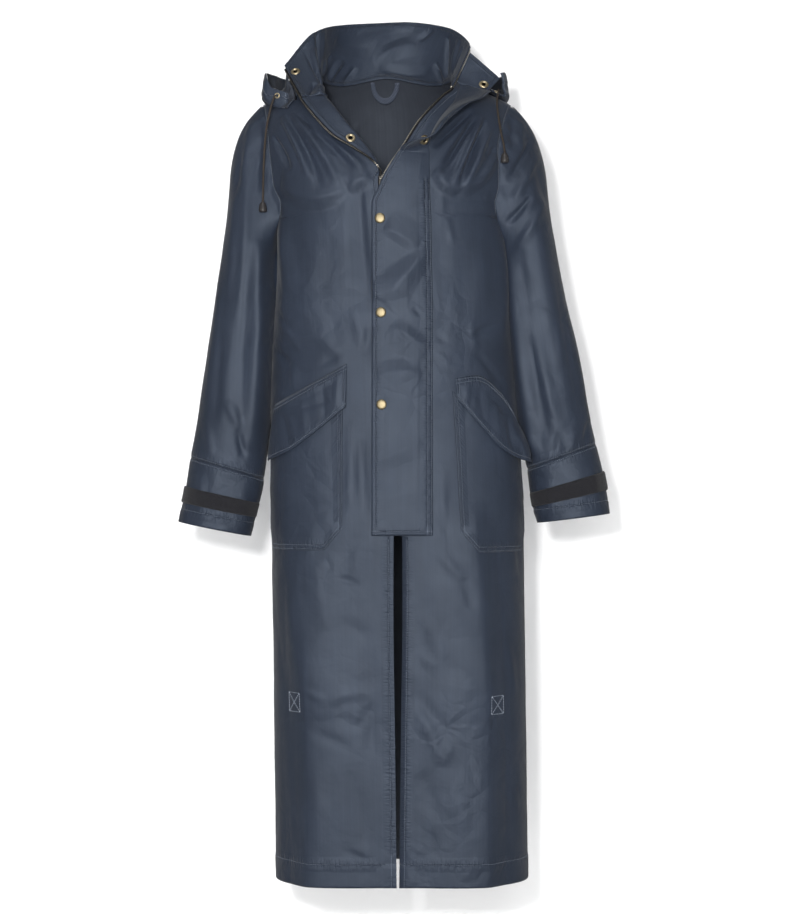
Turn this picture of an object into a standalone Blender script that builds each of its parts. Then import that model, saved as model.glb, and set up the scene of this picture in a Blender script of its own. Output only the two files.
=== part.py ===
"""A long hooded riding raincoat, held in the hollow form it has when it is worn.

+X is the viewer's right, the front faces -Y and +Z is up. The origin is the middle
of the neck opening at the height of the nape seam, where a wearer carries the coat.
"Left" and "right" are the viewer's, looking at the front.

The body is a family of sections. A level runs from -1 at the hem over 0 at the
underarm to 1 at the shoulder seam, and an angle runs from 0 at the centre line to a
quarter turn at the side seam. Every cloth piece is a grid laid through its sections
and thickened to a wall. What lies on another piece is made from that piece's points,
moved out.
"""

import bisect
import math
from collections import namedtuple

import bmesh
import bpy
from mathutils import Euler, Matrix, Vector
from mathutils.bvhtree import BVHTree

# Driving sizes, in metres.
CLOTH = 0.0012
SEAM = 0.0009
GAP = 0.0003
HEM_HEIGHT = -1.200
UNDERARM_HEIGHT = -0.225
NECK_HALF_WIDTH = 0.100
NECK_SIDE_HEIGHT = -0.008
NECK_CREST = 0.044
SHOULDER_FALL = 0.465
CREST_POWER = 2.4
NAPE_LEVEL = 0.820
NAPE_CURVE = 1.8
LAPEL_TOP_LEVEL = 0.8065
RIGHT_NECK_LEVEL = 0.900
OPENING_LEVEL = 0.193
LAPEL_ROLL_RADIUS = 0.0035
SHOULDER_SEAM = 0.0008
ARMHOLE_SEAM = 0.0012
COLLAR_SEAM = 0.0012
LIE = 0.0019
ZIP_HALF_WIDTH = 0.0025
ZIP_GAP = 0.0006
ZIP_THICKNESS = 0.0018
ZIP_FOOT_LEVEL = -0.40
FLAP_FOOT_LEVEL = -0.477
CORD_RADIUS = 0.0015
HANGER_LIFT = 0.0016
TOGGLE_GAP = 0.0008
EYELET_LIFT = 0.0008

COAT = "hooded_raincoat"
LEFT = -1
RIGHT = 1
FRONT = -1
BACK = 1
QUARTER = math.pi / 2

Section = namedtuple("Section", "level half_width lean front back squareness")
BODY = (
    Section(-1.00, 0.188, 0.0060, 0.138, 0.136, 2.9),
    Section(-0.75, 0.188, 0.0030, 0.140, 0.134, 2.9),
    Section(-0.45, 0.188, -0.0010, 0.137, 0.130, 2.8),
    Section(-0.20, 0.181, -0.0080, 0.131, 0.120, 2.6),
    Section(-0.08, 0.171, -0.0105, 0.128, 0.118, 2.5),
    Section(0.00, 0.166, -0.0125, 0.126, 0.119, 2.5),
    Section(0.10, 0.174, -0.0135, 0.125, 0.120, 2.5),
    Section(0.28, 0.185, -0.0145, 0.123, 0.120, 2.5),
    Section(1.00, 0.190, -0.0165, 0.118, 0.118, 2.5),
)

# Where the armhole cuts each section, as a share of its half width.
Armhole = namedtuple("Armhole", "level left right")
ARMHOLE = (
    Armhole(0.00, 1.000, 1.000),
    Armhole(0.02, 0.966, 0.960),
    Armhole(0.07, 0.925, 0.910),
    Armhole(0.15, 0.915, 0.895),
    Armhole(0.28, 0.930, 0.893),
    Armhole(0.55, 0.945, 0.880),
    Armhole(0.80, 0.957, 0.925),
    Armhole(1.00, 0.980, 0.980),
)

# The front edges: the left one is the lapel's fold line, the right one is the cut edge.
Opening = namedtuple("Opening", "level left right")
OPENING = (
    Opening(-1.00, -0.0048, 0.0018),
    Opening(-0.80, -0.0070, 0.0040),
    Opening(-0.57, -0.0096, 0.0064),
    Opening(-0.477, -0.0092, 0.0060),
    Opening(-0.40, -0.0086, 0.0015),
    Opening(-0.30, -0.0101, -0.0003),
    Opening(-0.20, -0.0126, -0.0025),
    Opening(0.00, -0.0243, -0.0142),
    Opening(0.193, -0.0318, -0.0205),
    Opening(0.26, -0.0325, -0.0120),
    Opening(0.39, -0.0505, 0.0100),
    Opening(0.53, -0.0730, 0.0290),
    Opening(0.72, -0.0985, 0.0570),
    Opening(0.81, -0.1090, 0.0700),
    Opening(0.90, -0.1130, 0.0825),
    Opening(1.00, -0.1165, 0.0835),
)

# The turned-out strip of the left front: its width, and how far it has turned.
Lapel = namedtuple("Lapel", "level width turn")
LAPEL = (
    Lapel(-1.00, 0.003, 0.0),
    Lapel(0.17, 0.003, 0.0),
    Lapel(0.205, 0.003, 2.0),
    Lapel(0.225, 0.005, 22.0),
    Lapel(0.26, 0.010, 92.0),
    Lapel(0.32, 0.014, 145.0),
    Lapel(0.42, 0.025, 158.0),
    Lapel(0.54, 0.036, 160.0),
    Lapel(0.68, 0.040, 157.0),
    Lapel(0.8065, 0.043, 150.0),
)

# Sleeve tubes from the underarm (share 0) to the cuff hem (share 1).
Ring = namedtuple("Ring", "share outer_x outer_z inner_x inner_z half_depth middle_y")
CUFF_SHARE = 0.80
CUFF_SEAM = 0.0014
SLEEVES = {
    LEFT: (
        Ring(0.00, -0.2580, -0.2400, -0.1835, -0.2850, 0.069, -0.001),
        Ring(0.19, -0.2670, -0.3050, -0.1852, -0.3300, 0.067, -0.003),
        Ring(0.34, -0.2760, -0.3630, -0.1888, -0.3735, 0.067, -0.005),
        Ring(0.48, -0.2865, -0.4305, -0.1925, -0.4410, 0.062, -0.009),
        Ring(0.64, -0.2970, -0.5055, -0.1945, -0.5190, 0.056, -0.014),
        Ring(0.80, -0.3090, -0.5760, -0.1995, -0.6075, 0.050, -0.019),
        Ring(0.91, -0.3180, -0.6330, -0.2100, -0.6555, 0.048, -0.021),
        Ring(1.00, -0.3270, -0.6720, -0.2205, -0.6930, 0.047, -0.022),
    ),
    RIGHT: (
        Ring(0.00, 0.2320, -0.2400, 0.1610, -0.2850, 0.071, -0.001),
        Ring(0.19, 0.2440, -0.3050, 0.1660, -0.3300, 0.068, -0.003),
        Ring(0.34, 0.2558, -0.3630, 0.1710, -0.3735, 0.068, -0.005),
        Ring(0.48, 0.2700, -0.4305, 0.1775, -0.4410, 0.063, -0.009),
        Ring(0.64, 0.2835, -0.5055, 0.1840, -0.5190, 0.057, -0.014),
        Ring(0.80, 0.2950, -0.5560, 0.1925, -0.5925, 0.051, -0.019),
        Ring(0.91, 0.3090, -0.6180, 0.1995, -0.6450, 0.048, -0.021),
        Ring(1.00, 0.3150, -0.6600, 0.2085, -0.6735, 0.047, -0.022),
    ),
}

CollarTop = namedtuple("CollarTop", "share x y z")
COLLAR_TOP = (
    CollarTop(0.000, -0.1660, -0.0300, -0.0010),
    CollarTop(0.175, -0.1250, 0.0000, 0.0550),
    CollarTop(0.354, -0.0840, 0.0600, 0.0820),
    CollarTop(0.600, 0.0140, 0.1000, 0.0920),
    CollarTop(0.780, 0.0790, 0.0600, 0.0770),
    CollarTop(0.950, 0.1080, 0.0000, 0.0443),
    CollarTop(1.000, 0.1095, -0.0200, 0.0360),
)

# The largest folds of the body: ridges (or valleys, where the depth is negative) along
# the line from one point to the other, seen from the front or from the back.
Fold = namedtuple("Fold", "face x_1 z_1 x_2 z_2 half_width depth")
FOLDS = (
    Fold(FRONT, -0.060, -0.210, -0.060, -0.420, 0.028, 0.0035),
    Fold(FRONT, -0.150, -0.070, -0.110, -0.190, 0.026, 0.0040),
    Fold(FRONT, 0.105, -0.080, 0.080, -0.200, 0.026, -0.0035),
    Fold(FRONT, 0.110, -0.420, 0.095, -0.250, 0.030, 0.0035),
    Fold(FRONT, -0.120, -0.750, -0.130, -1.150, 0.038, 0.0050),
    Fold(FRONT, 0.120, -0.760, 0.135, -1.160, 0.038, 0.0050),
    Fold(BACK, -0.100, -0.200, -0.075, -0.480, 0.035, -0.0045),
    Fold(BACK, 0.085, -0.220, 0.070, -0.500, 0.035, -0.0045),
    Fold(BACK, -0.065, -0.620, -0.090, -1.150, 0.040, 0.0060),
    Fold(BACK, 0.080, -0.600, 0.100, -1.160, 0.040, 0.0060),
)
FOLD_FADE_WIDTH = 0.035

# The same for a sleeve's tube, where a turn of 90 degrees is its front.
SleeveFold = namedtuple("SleeveFold", "turn share half_turn half_share depth")
SLEEVE_FOLDS = {
    LEFT: (
        SleeveFold(55.0, 0.30, 38.0, 0.34, 0.0030),
        SleeveFold(125.0, 0.34, 30.0, 0.36, -0.0035),
        SleeveFold(250.0, 0.40, 40.0, 0.40, 0.0035),
    ),
    RIGHT: (
        SleeveFold(60.0, 0.36, 34.0, 0.34, 0.0030),
        SleeveFold(130.0, 0.30, 30.0, 0.32, -0.0035),
        SleeveFold(255.0, 0.36, 40.0, 0.40, 0.0035),
    ),
}

# The storm flap. Its lower ribs lie on the fronts from the seam to the free edge; the
# upper ones leave the seam freely, and the top is turned out as a wing. Past the top of
# the front the level counts on, up the collar's edge.
Rib = namedtuple("Rib", "level attach across forward rise loose bulge")
FLAP = (
    Rib(-0.477, 0.0507, -0.0887, 0.0, 0.0, 0.0, 0.0),
    Rib(-0.159, 0.0507, -0.0884, 0.0, 0.0, 0.0, 0.0),
    Rib(-0.020, 0.0485, -0.0866, 0.0, 0.0, 0.0, 0.0),
    Rib(0.070, 0.0476, -0.0855, 0.0, 0.0, 0.0, 0.0),
    Rib(0.140, 0.0470, -0.0765, 0.0, 0.0, 0.0, 0.0),
    Rib(0.209, 0.0465, -0.0683, 0.0, 0.0, 0.0, 0.0),
    Rib(0.284, 0.0460, -0.0562, 0.0, 0.0, 0.0, 0.0),
    Rib(0.350, 0.0456, -0.0460, 0.0, 0.0, 0.15, 0.0),
    Rib(0.410, 0.0452, -0.0390, -0.020, 0.0, 1.0, 0.006),
    Rib(0.446, 0.0452, -0.0210, -0.045, -0.0015, 1.0, 0.005),
    Rib(0.490, 0.0470, -0.0015, -0.050, -0.0070, 1.0, 0.004),
    Rib(0.587, 0.0552, 0.0135, -0.045, 0.0015, 1.0, 0.004),
    Rib(0.687, 0.0660, 0.0330, -0.030, 0.0090, 1.0, 0.006),
    Rib(0.880, 0.0840, 0.0440, -0.014, -0.0010, 1.0, 0.008),
    Rib(1.870, 0.0840, 0.0435, 0.004, -0.0430, 1.0, 0.008),
)
FLAP_LEVELS = (
    (FLAP_FOOT_LEVEL, ZIP_FOOT_LEVEL, -0.3, -0.2, -0.1, 0.0, 0.07, 0.14, 0.209, 0.284)
    + (0.35, 0.38, 0.41, 0.446, 0.49, 0.535, 0.587, 0.687, 0.78, 0.88)
    + (1.2, 1.5, 1.87)
)
FLAP_COLUMNS = 6
FLAP_LIFT = 0.0046
FLAP_NECK_LEVEL = 0.88
WING_LIFT = 0.0026

# Patch pockets: shares of the front panel and levels.
Patch = namedtuple("Patch", "inner outer chamfer bottom side mouth_inner mouth_outer")
PATCHES = {
    LEFT: Patch(0.188, 0.905, 0.097, -0.4990, -0.467, -0.268, -0.345),
    RIGHT: Patch(0.230, 0.905, 0.098, -0.5025, -0.472, -0.262, -0.345),
}
PATCH_BULGE = 0.003

# Pocket flaps: the sewn edge, the free edge and how far that stands off.
PocketEdge = namedtuple("PocketEdge", "share x_sewn z_sewn x_free z_free stand forward")
POCKET_FLAPS = {
    LEFT: (
        PocketEdge(0.00, -0.0738, -0.4400, -0.0745, -0.5035, 0.0075, 0.0),
        PocketEdge(0.40, -0.1120, -0.4620, -0.1175, -0.5397, 0.0085, 0.0),
        PocketEdge(0.72, -0.1508, -0.4830, -0.1508, -0.5657, 0.0095, 0.0),
        PocketEdge(1.00, -0.1800, -0.4980, -0.1830, -0.5820, 0.0110, 0.0),
    ),
    RIGHT: (
        PocketEdge(0.00, 0.0826, -0.4614, 0.0836, -0.4904, 0.0075, 0.0),
        PocketEdge(0.30, 0.1150, -0.4570, 0.1180, -0.5320, 0.0090, 0.0),
        PocketEdge(0.60, 0.1450, -0.4757, 0.1465, -0.5643, 0.0100, 0.0),
        PocketEdge(0.82, 0.1640, -0.5030, 0.1680, -0.5790, 0.0120, 0.006),
        PocketEdge(1.00, 0.1765, -0.5300, 0.1820, -0.5850, 0.0170, 0.022),
    ),
}
POCKET_FLAP_COLUMNS = 8
POCKET_FLAP_ROWS = 3

Strap = namedtuple("Strap", "top bottom first last")
STRAPS = {LEFT: Strap(0.883, 0.933, -0.06, 0.47), RIGHT: Strap(0.874, 0.924, -0.06, 0.47)}

# The folded-down hood, section by section round the neck seam: the pouch's depth, its
# reach outwards, and where its rim stands from the seam.
Hood = namedtuple("Hood", "share turn start drop reach rim_out rim_up")
HOOD = (
    Hood(0.00, 0.0, 0.022, 0.021, 0.046, 0.045, -0.003),
    Hood(0.10, 13.0, 0.020, 0.030, 0.080, 0.077, -0.004),
    Hood(0.22, 6.0, 0.014, 0.040, 0.087, 0.084, 0.006),
    Hood(0.36, 0.0, 0.005, 0.130, 0.108, 0.088, 0.002),
    Hood(0.54, 0.0, 0.004, 0.215, 0.118, 0.090, -0.004),
    Hood(0.72, 0.0, 0.004, 0.130, 0.108, 0.086, 0.002),
    Hood(0.88, 0.0, 0.005, 0.036, 0.080, 0.076, 0.006),
    Hood(1.00, -6.0, 0.007, 0.022, 0.062, 0.060, 0.008),
)
HoodRow = namedtuple("HoodRow", "reach drop")
HOOD_ROWS = (
    HoodRow(0.28, 0.18),
    HoodRow(0.50, 0.50),
    HoodRow(0.70, 0.82),
    HoodRow(0.90, 1.00),
    HoodRow(1.03, 0.80),
    HoodRow(1.02, 0.40),
)
HOOD_COLUMNS = 20
HOOD_LIFT = 0.0028
HOOD_CLEARANCE = 0.0028
HOOD_PASSES = 12
HOOD_FIRST = 0.09
HOOD_LAST = 0.90

# Hardware, seated where a line from straight ahead meets the cloth.
Stud = namedtuple("Stud", "name on x z lift")
CAPS = (
    Stud("snap_cap_1", "storm_flap", -0.0261, -0.2295, 0.0006),
    Stud("snap_cap_2", "storm_flap", -0.0247, -0.3665, 0.0006),
    Stud("snap_cap_3", "storm_flap", -0.0238, -0.5000, 0.0006),
)
RINGS = (
    Stud("snap_ring_1", "collar", -0.1520, -0.0050, 0.0010),
    Stud("snap_ring_2", "front_left", -0.0690, -0.1125, 0.0006),
    Stud("snap_ring_3", "storm_flap", 0.1270, -0.0240, 0.0013),
    Stud("snap_ring_4", "storm_flap", 0.0385, -0.1170, 0.0026),
)
HIDDEN_CAPS = {"snap_ring_3": "snap_cap_4", "snap_ring_4": "snap_cap_5"}
Turned = namedtuple("Turned", "radius height")
CAP_PROFILE = (
    Turned(0.0, 0.0),
    Turned(0.0071, 0.0),
    Turned(0.0075, 0.0006),
    Turned(0.0070, 0.0014),
    Turned(0.0048, 0.0022),
    Turned(0.0, 0.0026),
)
RING_PROFILE = (
    Turned(0.0030, 0.0),
    Turned(0.0066, 0.0),
    Turned(0.0066, 0.0008),
    Turned(0.0050, 0.0020),
    Turned(0.0036, 0.0021),
    Turned(0.0030, 0.0013),
)
EYELET_PROFILE = (
    Turned(0.0021, 0.0),
    Turned(0.0040, 0.0),
    Turned(0.0040, 0.0005),
    Turned(0.0031, 0.0011),
    Turned(0.0021, 0.0006),
)
TOGGLE_PROFILE = (
    Turned(0.0, 0.0),
    Turned(0.0026, 0.0),
    Turned(0.0040, 0.0020),
    Turned(0.0056, 0.0070),
    Turned(0.0060, 0.0125),
    Turned(0.0048, 0.0150),
    Turned(0.0, 0.0155),
)
TURNED_SEGMENTS = 20

# The free ends of the drawcord hang from their eyelets; y runs clear of the cloth.
CordStop = namedtuple("CordStop", "share x y z")
CORD_STOPS = {
    LEFT: (
        CordStop(0.00, -0.1788, -0.0466, -0.0331),
        CordStop(0.03, -0.1800, -0.0512, -0.0334),
        CordStop(0.08, -0.1828, -0.0555, -0.0410),
        CordStop(0.18, -0.1885, -0.0610, -0.0600),
        CordStop(0.40, -0.1950, -0.0665, -0.0990),
        CordStop(0.70, -0.1980, -0.0690, -0.1500),
        CordStop(1.00, -0.1990, -0.0700, -0.2005),
    ),
    RIGHT: (
        CordStop(0.00, 0.1552, -0.0110, -0.0228),
        CordStop(0.05, 0.1569, -0.0130, -0.0262),
        CordStop(0.16, 0.1550, -0.0260, -0.0370),
        CordStop(0.30, 0.1520, -0.0390, -0.0480),
        CordStop(0.42, 0.1505, -0.0480, -0.0600),
        CordStop(0.56, 0.1510, -0.0560, -0.0760),
        CordStop(0.72, 0.1530, -0.0640, -0.0960),
        CordStop(0.90, 0.1560, -0.0720, -0.1180),
        CordStop(1.00, 0.1570, -0.0750, -0.1285),
    ),
}
CORD_STEPS = {LEFT: 24, RIGHT: 16}
Place = namedtuple("Place", "x y z")
EYELETS = {LEFT: Place(-0.1800, -0.0500, -0.0330), RIGHT: Place(0.1560, -0.0100, -0.0200)}

# The slider, block by block: near and far count inwards from the cloth's outer face,
# bottom and top from the point where the halves meet.
Block = namedtuple("Block", "name width near far bottom top")
SLIDER_LEVEL = 0.188
SLIDER_SHIFT = 0.0007
SLIDER = (
    Block("zip_slider", 0.0068, -0.0014, -0.0004, -0.0099, 0.0017),
    Block("slider_wedge", 0.0006, -0.0008, 0.0030, 0.0005, 0.0015),
    Block("slider_back_plate", 0.0068, 0.0025, 0.0035, -0.0098, 0.0016),
    Block("slider_lug", 0.0020, -0.0022, -0.0009, -0.0013, 0.0007),
    Block("slider_pull", 0.0046, -0.0024, -0.0017, -0.0175, 0.0008),
)

SKIRT_LEVELS = (
    (-1.0, -0.88, -0.76, -0.65, -0.56, FLAP_FOOT_LEVEL, ZIP_FOOT_LEVEL)
    + (-0.3, -0.2, -0.1)
)
UPPER_LEVELS = (
    0.0,
    0.02,
    0.07,
    0.13,
    OPENING_LEVEL,
    0.26,
    0.34,
    0.44,
    0.56,
    0.68,
    LAPEL_TOP_LEVEL,
    RIGHT_NECK_LEVEL,
    0.955,
    1.0,
)
LEVELS = SKIRT_LEVELS + UPPER_LEVELS
LAPEL_COLUMNS = 3
PANEL_COLUMNS = 8
NECK_COLUMNS = 5
SHOULDER_COLUMNS = 4


def slope_at(keys, values, row):
    """Slope of a table at one row, level where the values turn back."""
    if row == 0:
        return (values[1] - values[0]) / (keys[1] - keys[0])
    before = (values[row] - values[row - 1]) / (keys[row] - keys[row - 1])
    if row == len(keys) - 1:
        return before
    after = (values[row + 1] - values[row]) / (keys[row + 1] - keys[row])
    return 0.0 if before * after <= 0 else 2 * before * after / (before + after)


def read(table, column, at):
    """Value of one column of a table, running smoothly between its rows."""
    keys = [row[0] for row in table]
    values = [getattr(row, column) for row in table]
    if at <= keys[0]:
        return values[0]
    if at >= keys[-1]:
        return values[-1]
    upper = bisect.bisect_right(keys, at)
    lower = upper - 1
    step = keys[upper] - keys[lower]
    share = (at - keys[lower]) / step
    rest = 1 - share
    return (
        values[lower] * rest * rest * (1 + 2 * share)
        + values[upper] * share * share * (3 - 2 * share)
        + slope_at(keys, values, lower) * step * share * rest * rest
        - slope_at(keys, values, upper) * step * share * share * rest
    )


def crest(across):
    """Height of the shoulder line at a distance from the middle of the body."""
    share = abs(across) / NECK_HALF_WIDTH
    if share > 1:
        return NECK_SIDE_HEIGHT - (share - 1) * NECK_HALF_WIDTH * SHOULDER_FALL
    blend = share * share * (3 - 2 * share)
    fall = SHOULDER_FALL * NECK_HALF_WIDTH * share * share * (1 - share)
    return NECK_CREST + (NECK_SIDE_HEIGHT - NECK_CREST) * blend + fall


def angle_of(across, level):
    """Angle at which a section lies a given distance from its middle."""
    share = min(abs(across) / read(BODY, "half_width", level), 1.0)
    return math.copysign(math.asin(share ** (read(BODY, "squareness", level) / 2)), across)


def bump(offset):
    """Soft hump: 1 in the middle, 0 from one half width on."""
    return (1 - offset * offset) ** 2 if abs(offset) < 1 else 0.0


def folded(face, x, z):
    """How far the folds push the body's cloth outwards."""
    pushed = 0.0
    for fold in FOLDS:
        if fold.face != face:
            continue
        run = Vector((fold.x_2 - fold.x_1, fold.z_2 - fold.z_1))
        off = Vector((x - fold.x_1, z - fold.z_1))
        along = off.dot(run) / run.length_squared
        aside = (off - run * along).length / fold.half_width
        pushed += fold.depth * bump(aside) * bump(2 * along - 1)
    return pushed


def body(face, angle, level):
    """Point on the outer face of the coat's body."""
    power = 2 / read(BODY, "squareness", level)
    across = read(BODY, "half_width", level) * abs(math.sin(angle)) ** power
    across = math.copysign(across, angle)
    depth = read(BODY, "front" if face == FRONT else "back", level)
    out = depth * max(math.cos(angle), 0.0) ** power
    if level > 0:
        height = UNDERARM_HEIGHT + level * (crest(across) - UNDERARM_HEIGHT)
        out *= math.sqrt(1 - min(level, 1.0) ** CREST_POWER)
    else:
        height = UNDERARM_HEIGHT + level * (UNDERARM_HEIGHT - HEM_HEIGHT)
    x = read(BODY, "lean", level) + across
    out += folded(face, x, height) * min(out / FOLD_FADE_WIDTH, 1.0)
    out += (SEAM + SHOULDER_SEAM * min(max(level, 0.0), 1.0)) / 2
    return Vector((x, face * out, height))


def spot(x, z):
    """Angle and level of the body's section point at this place."""
    level = 0.0
    for _ in range(4):
        across = x - read(BODY, "lean", level)
        if z > UNDERARM_HEIGHT:
            level = (z - UNDERARM_HEIGHT) / (crest(across) - UNDERARM_HEIGHT)
        else:
            level = (z - UNDERARM_HEIGHT) / (UNDERARM_HEIGHT - HEM_HEIGHT)
    return angle_of(across, level), level


def over_front(angle, level, lift):
    """Point over the fronts, that far off their outer face."""
    return body(FRONT, angle, level) + outward(FRONT, angle, level) * lift


def outward(face, angle, level):
    """Unit normal of the body's outer face."""
    turn = 0.01
    rise = 0.004
    around = body(face, angle + turn, level) - body(face, angle - turn, level)
    up = body(face, angle, min(level + rise, 1.0)) - body(face, angle, level - rise)
    return (around.cross(up) * -face).normalized()


def side_angle(side, level):
    """Angle at which a panel ends, at the side seam or the armhole."""
    if level <= 0:
        return side * QUARTER
    cut = read(ARMHOLE, "left" if side == LEFT else "right", level)
    return side * math.asin(cut ** (read(BODY, "squareness", level) / 2))


def edge_angle(side, level):
    """Angle of a front panel's fold line or cut edge."""
    x = read(OPENING, "left" if side == LEFT else "right", level)
    return angle_of(x - read(BODY, "lean", level), level)


def front(side, share, level):
    """Front panel: share 0 is its edge or fold line, share 1 its side seam."""
    start = edge_angle(side, level)
    return body(FRONT, start + share * (side_angle(side, level) - start), level)


def lapel(reach, level):
    """Left front past its fold line, rolled outwards by the lapel's turn."""
    start = edge_angle(LEFT, level)
    rise = 0.01
    above = body(FRONT, edge_angle(LEFT, level + rise), level + rise)
    along = above - body(FRONT, edge_angle(LEFT, level - rise), level - rise)
    along.normalize()
    normal = outward(FRONT, start, level)
    inward = along.cross(normal).normalized()
    normal = inward.cross(along)
    rolled = min(reach, math.radians(read(LAPEL, "turn", level)) * LAPEL_ROLL_RADIUS)
    bend = rolled / LAPEL_ROLL_RADIUS
    return (
        body(FRONT, start, level)
        + inward * (LAPEL_ROLL_RADIUS * math.sin(bend))
        + normal * (LAPEL_ROLL_RADIUS * (1 - math.cos(bend)))
        + (inward * math.cos(bend) + normal * math.sin(bend)) * (reach - rolled)
    )


def back_point(side, step, level):
    """Back panel: steps run from the middle over the neck side to the side seam."""
    neck_angle = angle_of(NECK_HALF_WIDTH, 1.0)
    if step <= NECK_COLUMNS:
        angle = neck_angle * step / NECK_COLUMNS
    else:
        rest = (step - NECK_COLUMNS) / SHOULDER_COLUMNS
        angle = neck_angle + (abs(side_angle(side, level)) - neck_angle) * rest
    if level > 0:
        share = min(step / NECK_COLUMNS, 1.0)
        level *= NAPE_LEVEL + (1 - NAPE_LEVEL) * share ** NAPE_CURVE
    return body(BACK, side * angle, level)


def neck_line():
    """The neck seam, from the zip edge of the lapel round the nape to the right edge."""
    width = read(LAPEL, "width", LAPEL_TOP_LEVEL)
    strip = range(LAPEL_COLUMNS, 0, -1)
    points = [lapel(width * step / LAPEL_COLUMNS, LAPEL_TOP_LEVEL) for step in strip]
    left_levels = [level for level in LEVELS if level >= LAPEL_TOP_LEVEL]
    points.extend(front(LEFT, 0, level) for level in left_levels)
    points.extend(back_point(LEFT, step, 1.0) for step in range(NECK_COLUMNS - 1, 0, -1))
    points.extend(back_point(RIGHT, step, 1.0) for step in range(NECK_COLUMNS))
    right_levels = [level for level in LEVELS if level >= RIGHT_NECK_LEVEL]
    points.extend(front(RIGHT, 0, level) for level in reversed(right_levels))
    return points


def length_shares(points):
    """Share of a polyline's length at each of its points."""
    lengths = [0.0]
    for first, second in zip(points, points[1:]):
        lengths.append(lengths[-1] + (second - first).length)
    return [length / lengths[-1] for length in lengths]


def armhole_ring(side):
    """The armhole at the panels' own rows, down its front and up its back."""
    down = [level for level in reversed(LEVELS) if level >= 0]
    points = [body(FRONT, side_angle(side, level), level) for level in down]
    points.extend(body(BACK, side_angle(side, level), level) for level in down[-2::-1])
    points[0] = (points[0] + points[-1]) / 2
    points[-1] = points[0]
    return points


def tube_point(side, turn, share):
    """Sleeve below the underarm: turn 0 is outermost, a quarter turn is the front."""
    rows = SLEEVES[side]
    outer = Vector((read(rows, "outer_x", share), 0, read(rows, "outer_z", share)))
    inner = Vector((read(rows, "inner_x", share), 0, read(rows, "inner_z", share)))
    across = (outer - inner) / 2
    round_off = 0.9
    wide = math.copysign(abs(math.cos(turn)) ** round_off, math.cos(turn))
    deep = math.copysign(abs(math.sin(turn)) ** round_off, math.sin(turn))
    pushed = 1.0
    for fold in SLEEVE_FOLDS[side]:
        gap = math.degrees(turn) % 360 - fold.turn
        weight = bump(gap / fold.half_turn) * bump((share - fold.share) / fold.half_share)
        pushed += fold.depth / across.length * weight
    point = (outer + inner) / 2 + across * wide * pushed
    half_depth = read(rows, "half_depth", share) * pushed
    point.y = read(rows, "middle_y", share) - half_depth * deep
    return point


def tube_normal(side, turn, share):
    """Unit normal of a sleeve's outer face."""
    step = 0.02
    around = tube_point(side, turn + step, share) - tube_point(side, turn - step, share)
    along = tube_point(side, turn, share + step) - tube_point(side, turn, share - step)
    return (along.cross(around) * side).normalized()


def cap_point(side, start, turn, share):
    """Sleeve cap, from a point of the armhole to the tube's first ring."""
    end = tube_point(side, turn, 0.0)
    span = (end - start).length
    height = (1 + math.cos(turn)) / 2
    leave = Vector((side * (0.45 + 0.40 * height), 0, 0.30 * height - 0.90)).normalized()
    arrive = (tube_point(side, turn, 0.02) - end).normalized()
    rest = 1 - share
    return (
        start * (rest * rest * (1 + 2 * share))
        + end * (share * share * (3 - 2 * share))
        + leave * (span * 1.1 * share * rest * rest)
        - arrive * (span * 1.1 * share * share * rest)
    )


def clear_scene():
    """Removes every object of the scene."""
    for thing in list(bpy.data.objects):
        bpy.data.objects.remove(thing, do_unlink=True)


def finish(name, colour, roughness, metallic):
    """A plain material."""
    material = bpy.data.materials.new(name)
    material.use_nodes = True
    shader = material.node_tree.nodes["Principled BSDF"]
    shader.inputs["Base Color"].default_value = (*colour, 1)
    shader.inputs["Roughness"].default_value = roughness
    shader.inputs["Metallic"].default_value = metallic
    return material


def add_object(name, data, collection, material):
    """Links a mesh or curve as a named object."""
    thing = bpy.data.objects.new(name, data)
    data.materials.append(material)
    collection.objects.link(thing)
    return thing


def sheet(name, columns, rows, place, collection, material, **options):
    """Cloth wall: a grid whose point (column, row) is placed, thickened inwards."""
    kept = options.get("kept")
    flip = options.get("flip", False)
    mesh_builder = bmesh.new()
    bmesh.ops.create_grid(mesh_builder, x_segments=columns, y_segments=rows, size=1)
    dropped = []
    spots = {}
    for vertex in mesh_builder.verts:
        column = round((vertex.co.x + 1) / 2 * columns)
        row = round((vertex.co.y + 1) / 2 * rows)
        spots[vertex] = (column, row)
    if kept:
        for cell in mesh_builder.faces:
            column = min(spots[vertex][0] for vertex in cell.verts)
            row = min(spots[vertex][1] for vertex in cell.verts)
            if not kept(column, row):
                dropped.append(cell)
    bmesh.ops.delete(mesh_builder, geom=dropped, context="FACES")
    for vertex in mesh_builder.verts:
        vertex.co = place(*spots[vertex])
    if options.get("closed"):
        bmesh.ops.remove_doubles(mesh_builder, verts=mesh_builder.verts, dist=1e-6)
    if flip:
        bmesh.ops.reverse_faces(mesh_builder, faces=mesh_builder.faces)
    mesh = bpy.data.meshes.new(name)
    mesh_builder.to_mesh(mesh)
    mesh_builder.free()
    thing = add_object(name, mesh, collection, material)
    wall = thing.modifiers.new("wall", "SOLIDIFY")
    wall.thickness = options.get("thickness", CLOTH)
    wall.offset = -1
    mesh.shade_smooth()
    return thing


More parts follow.
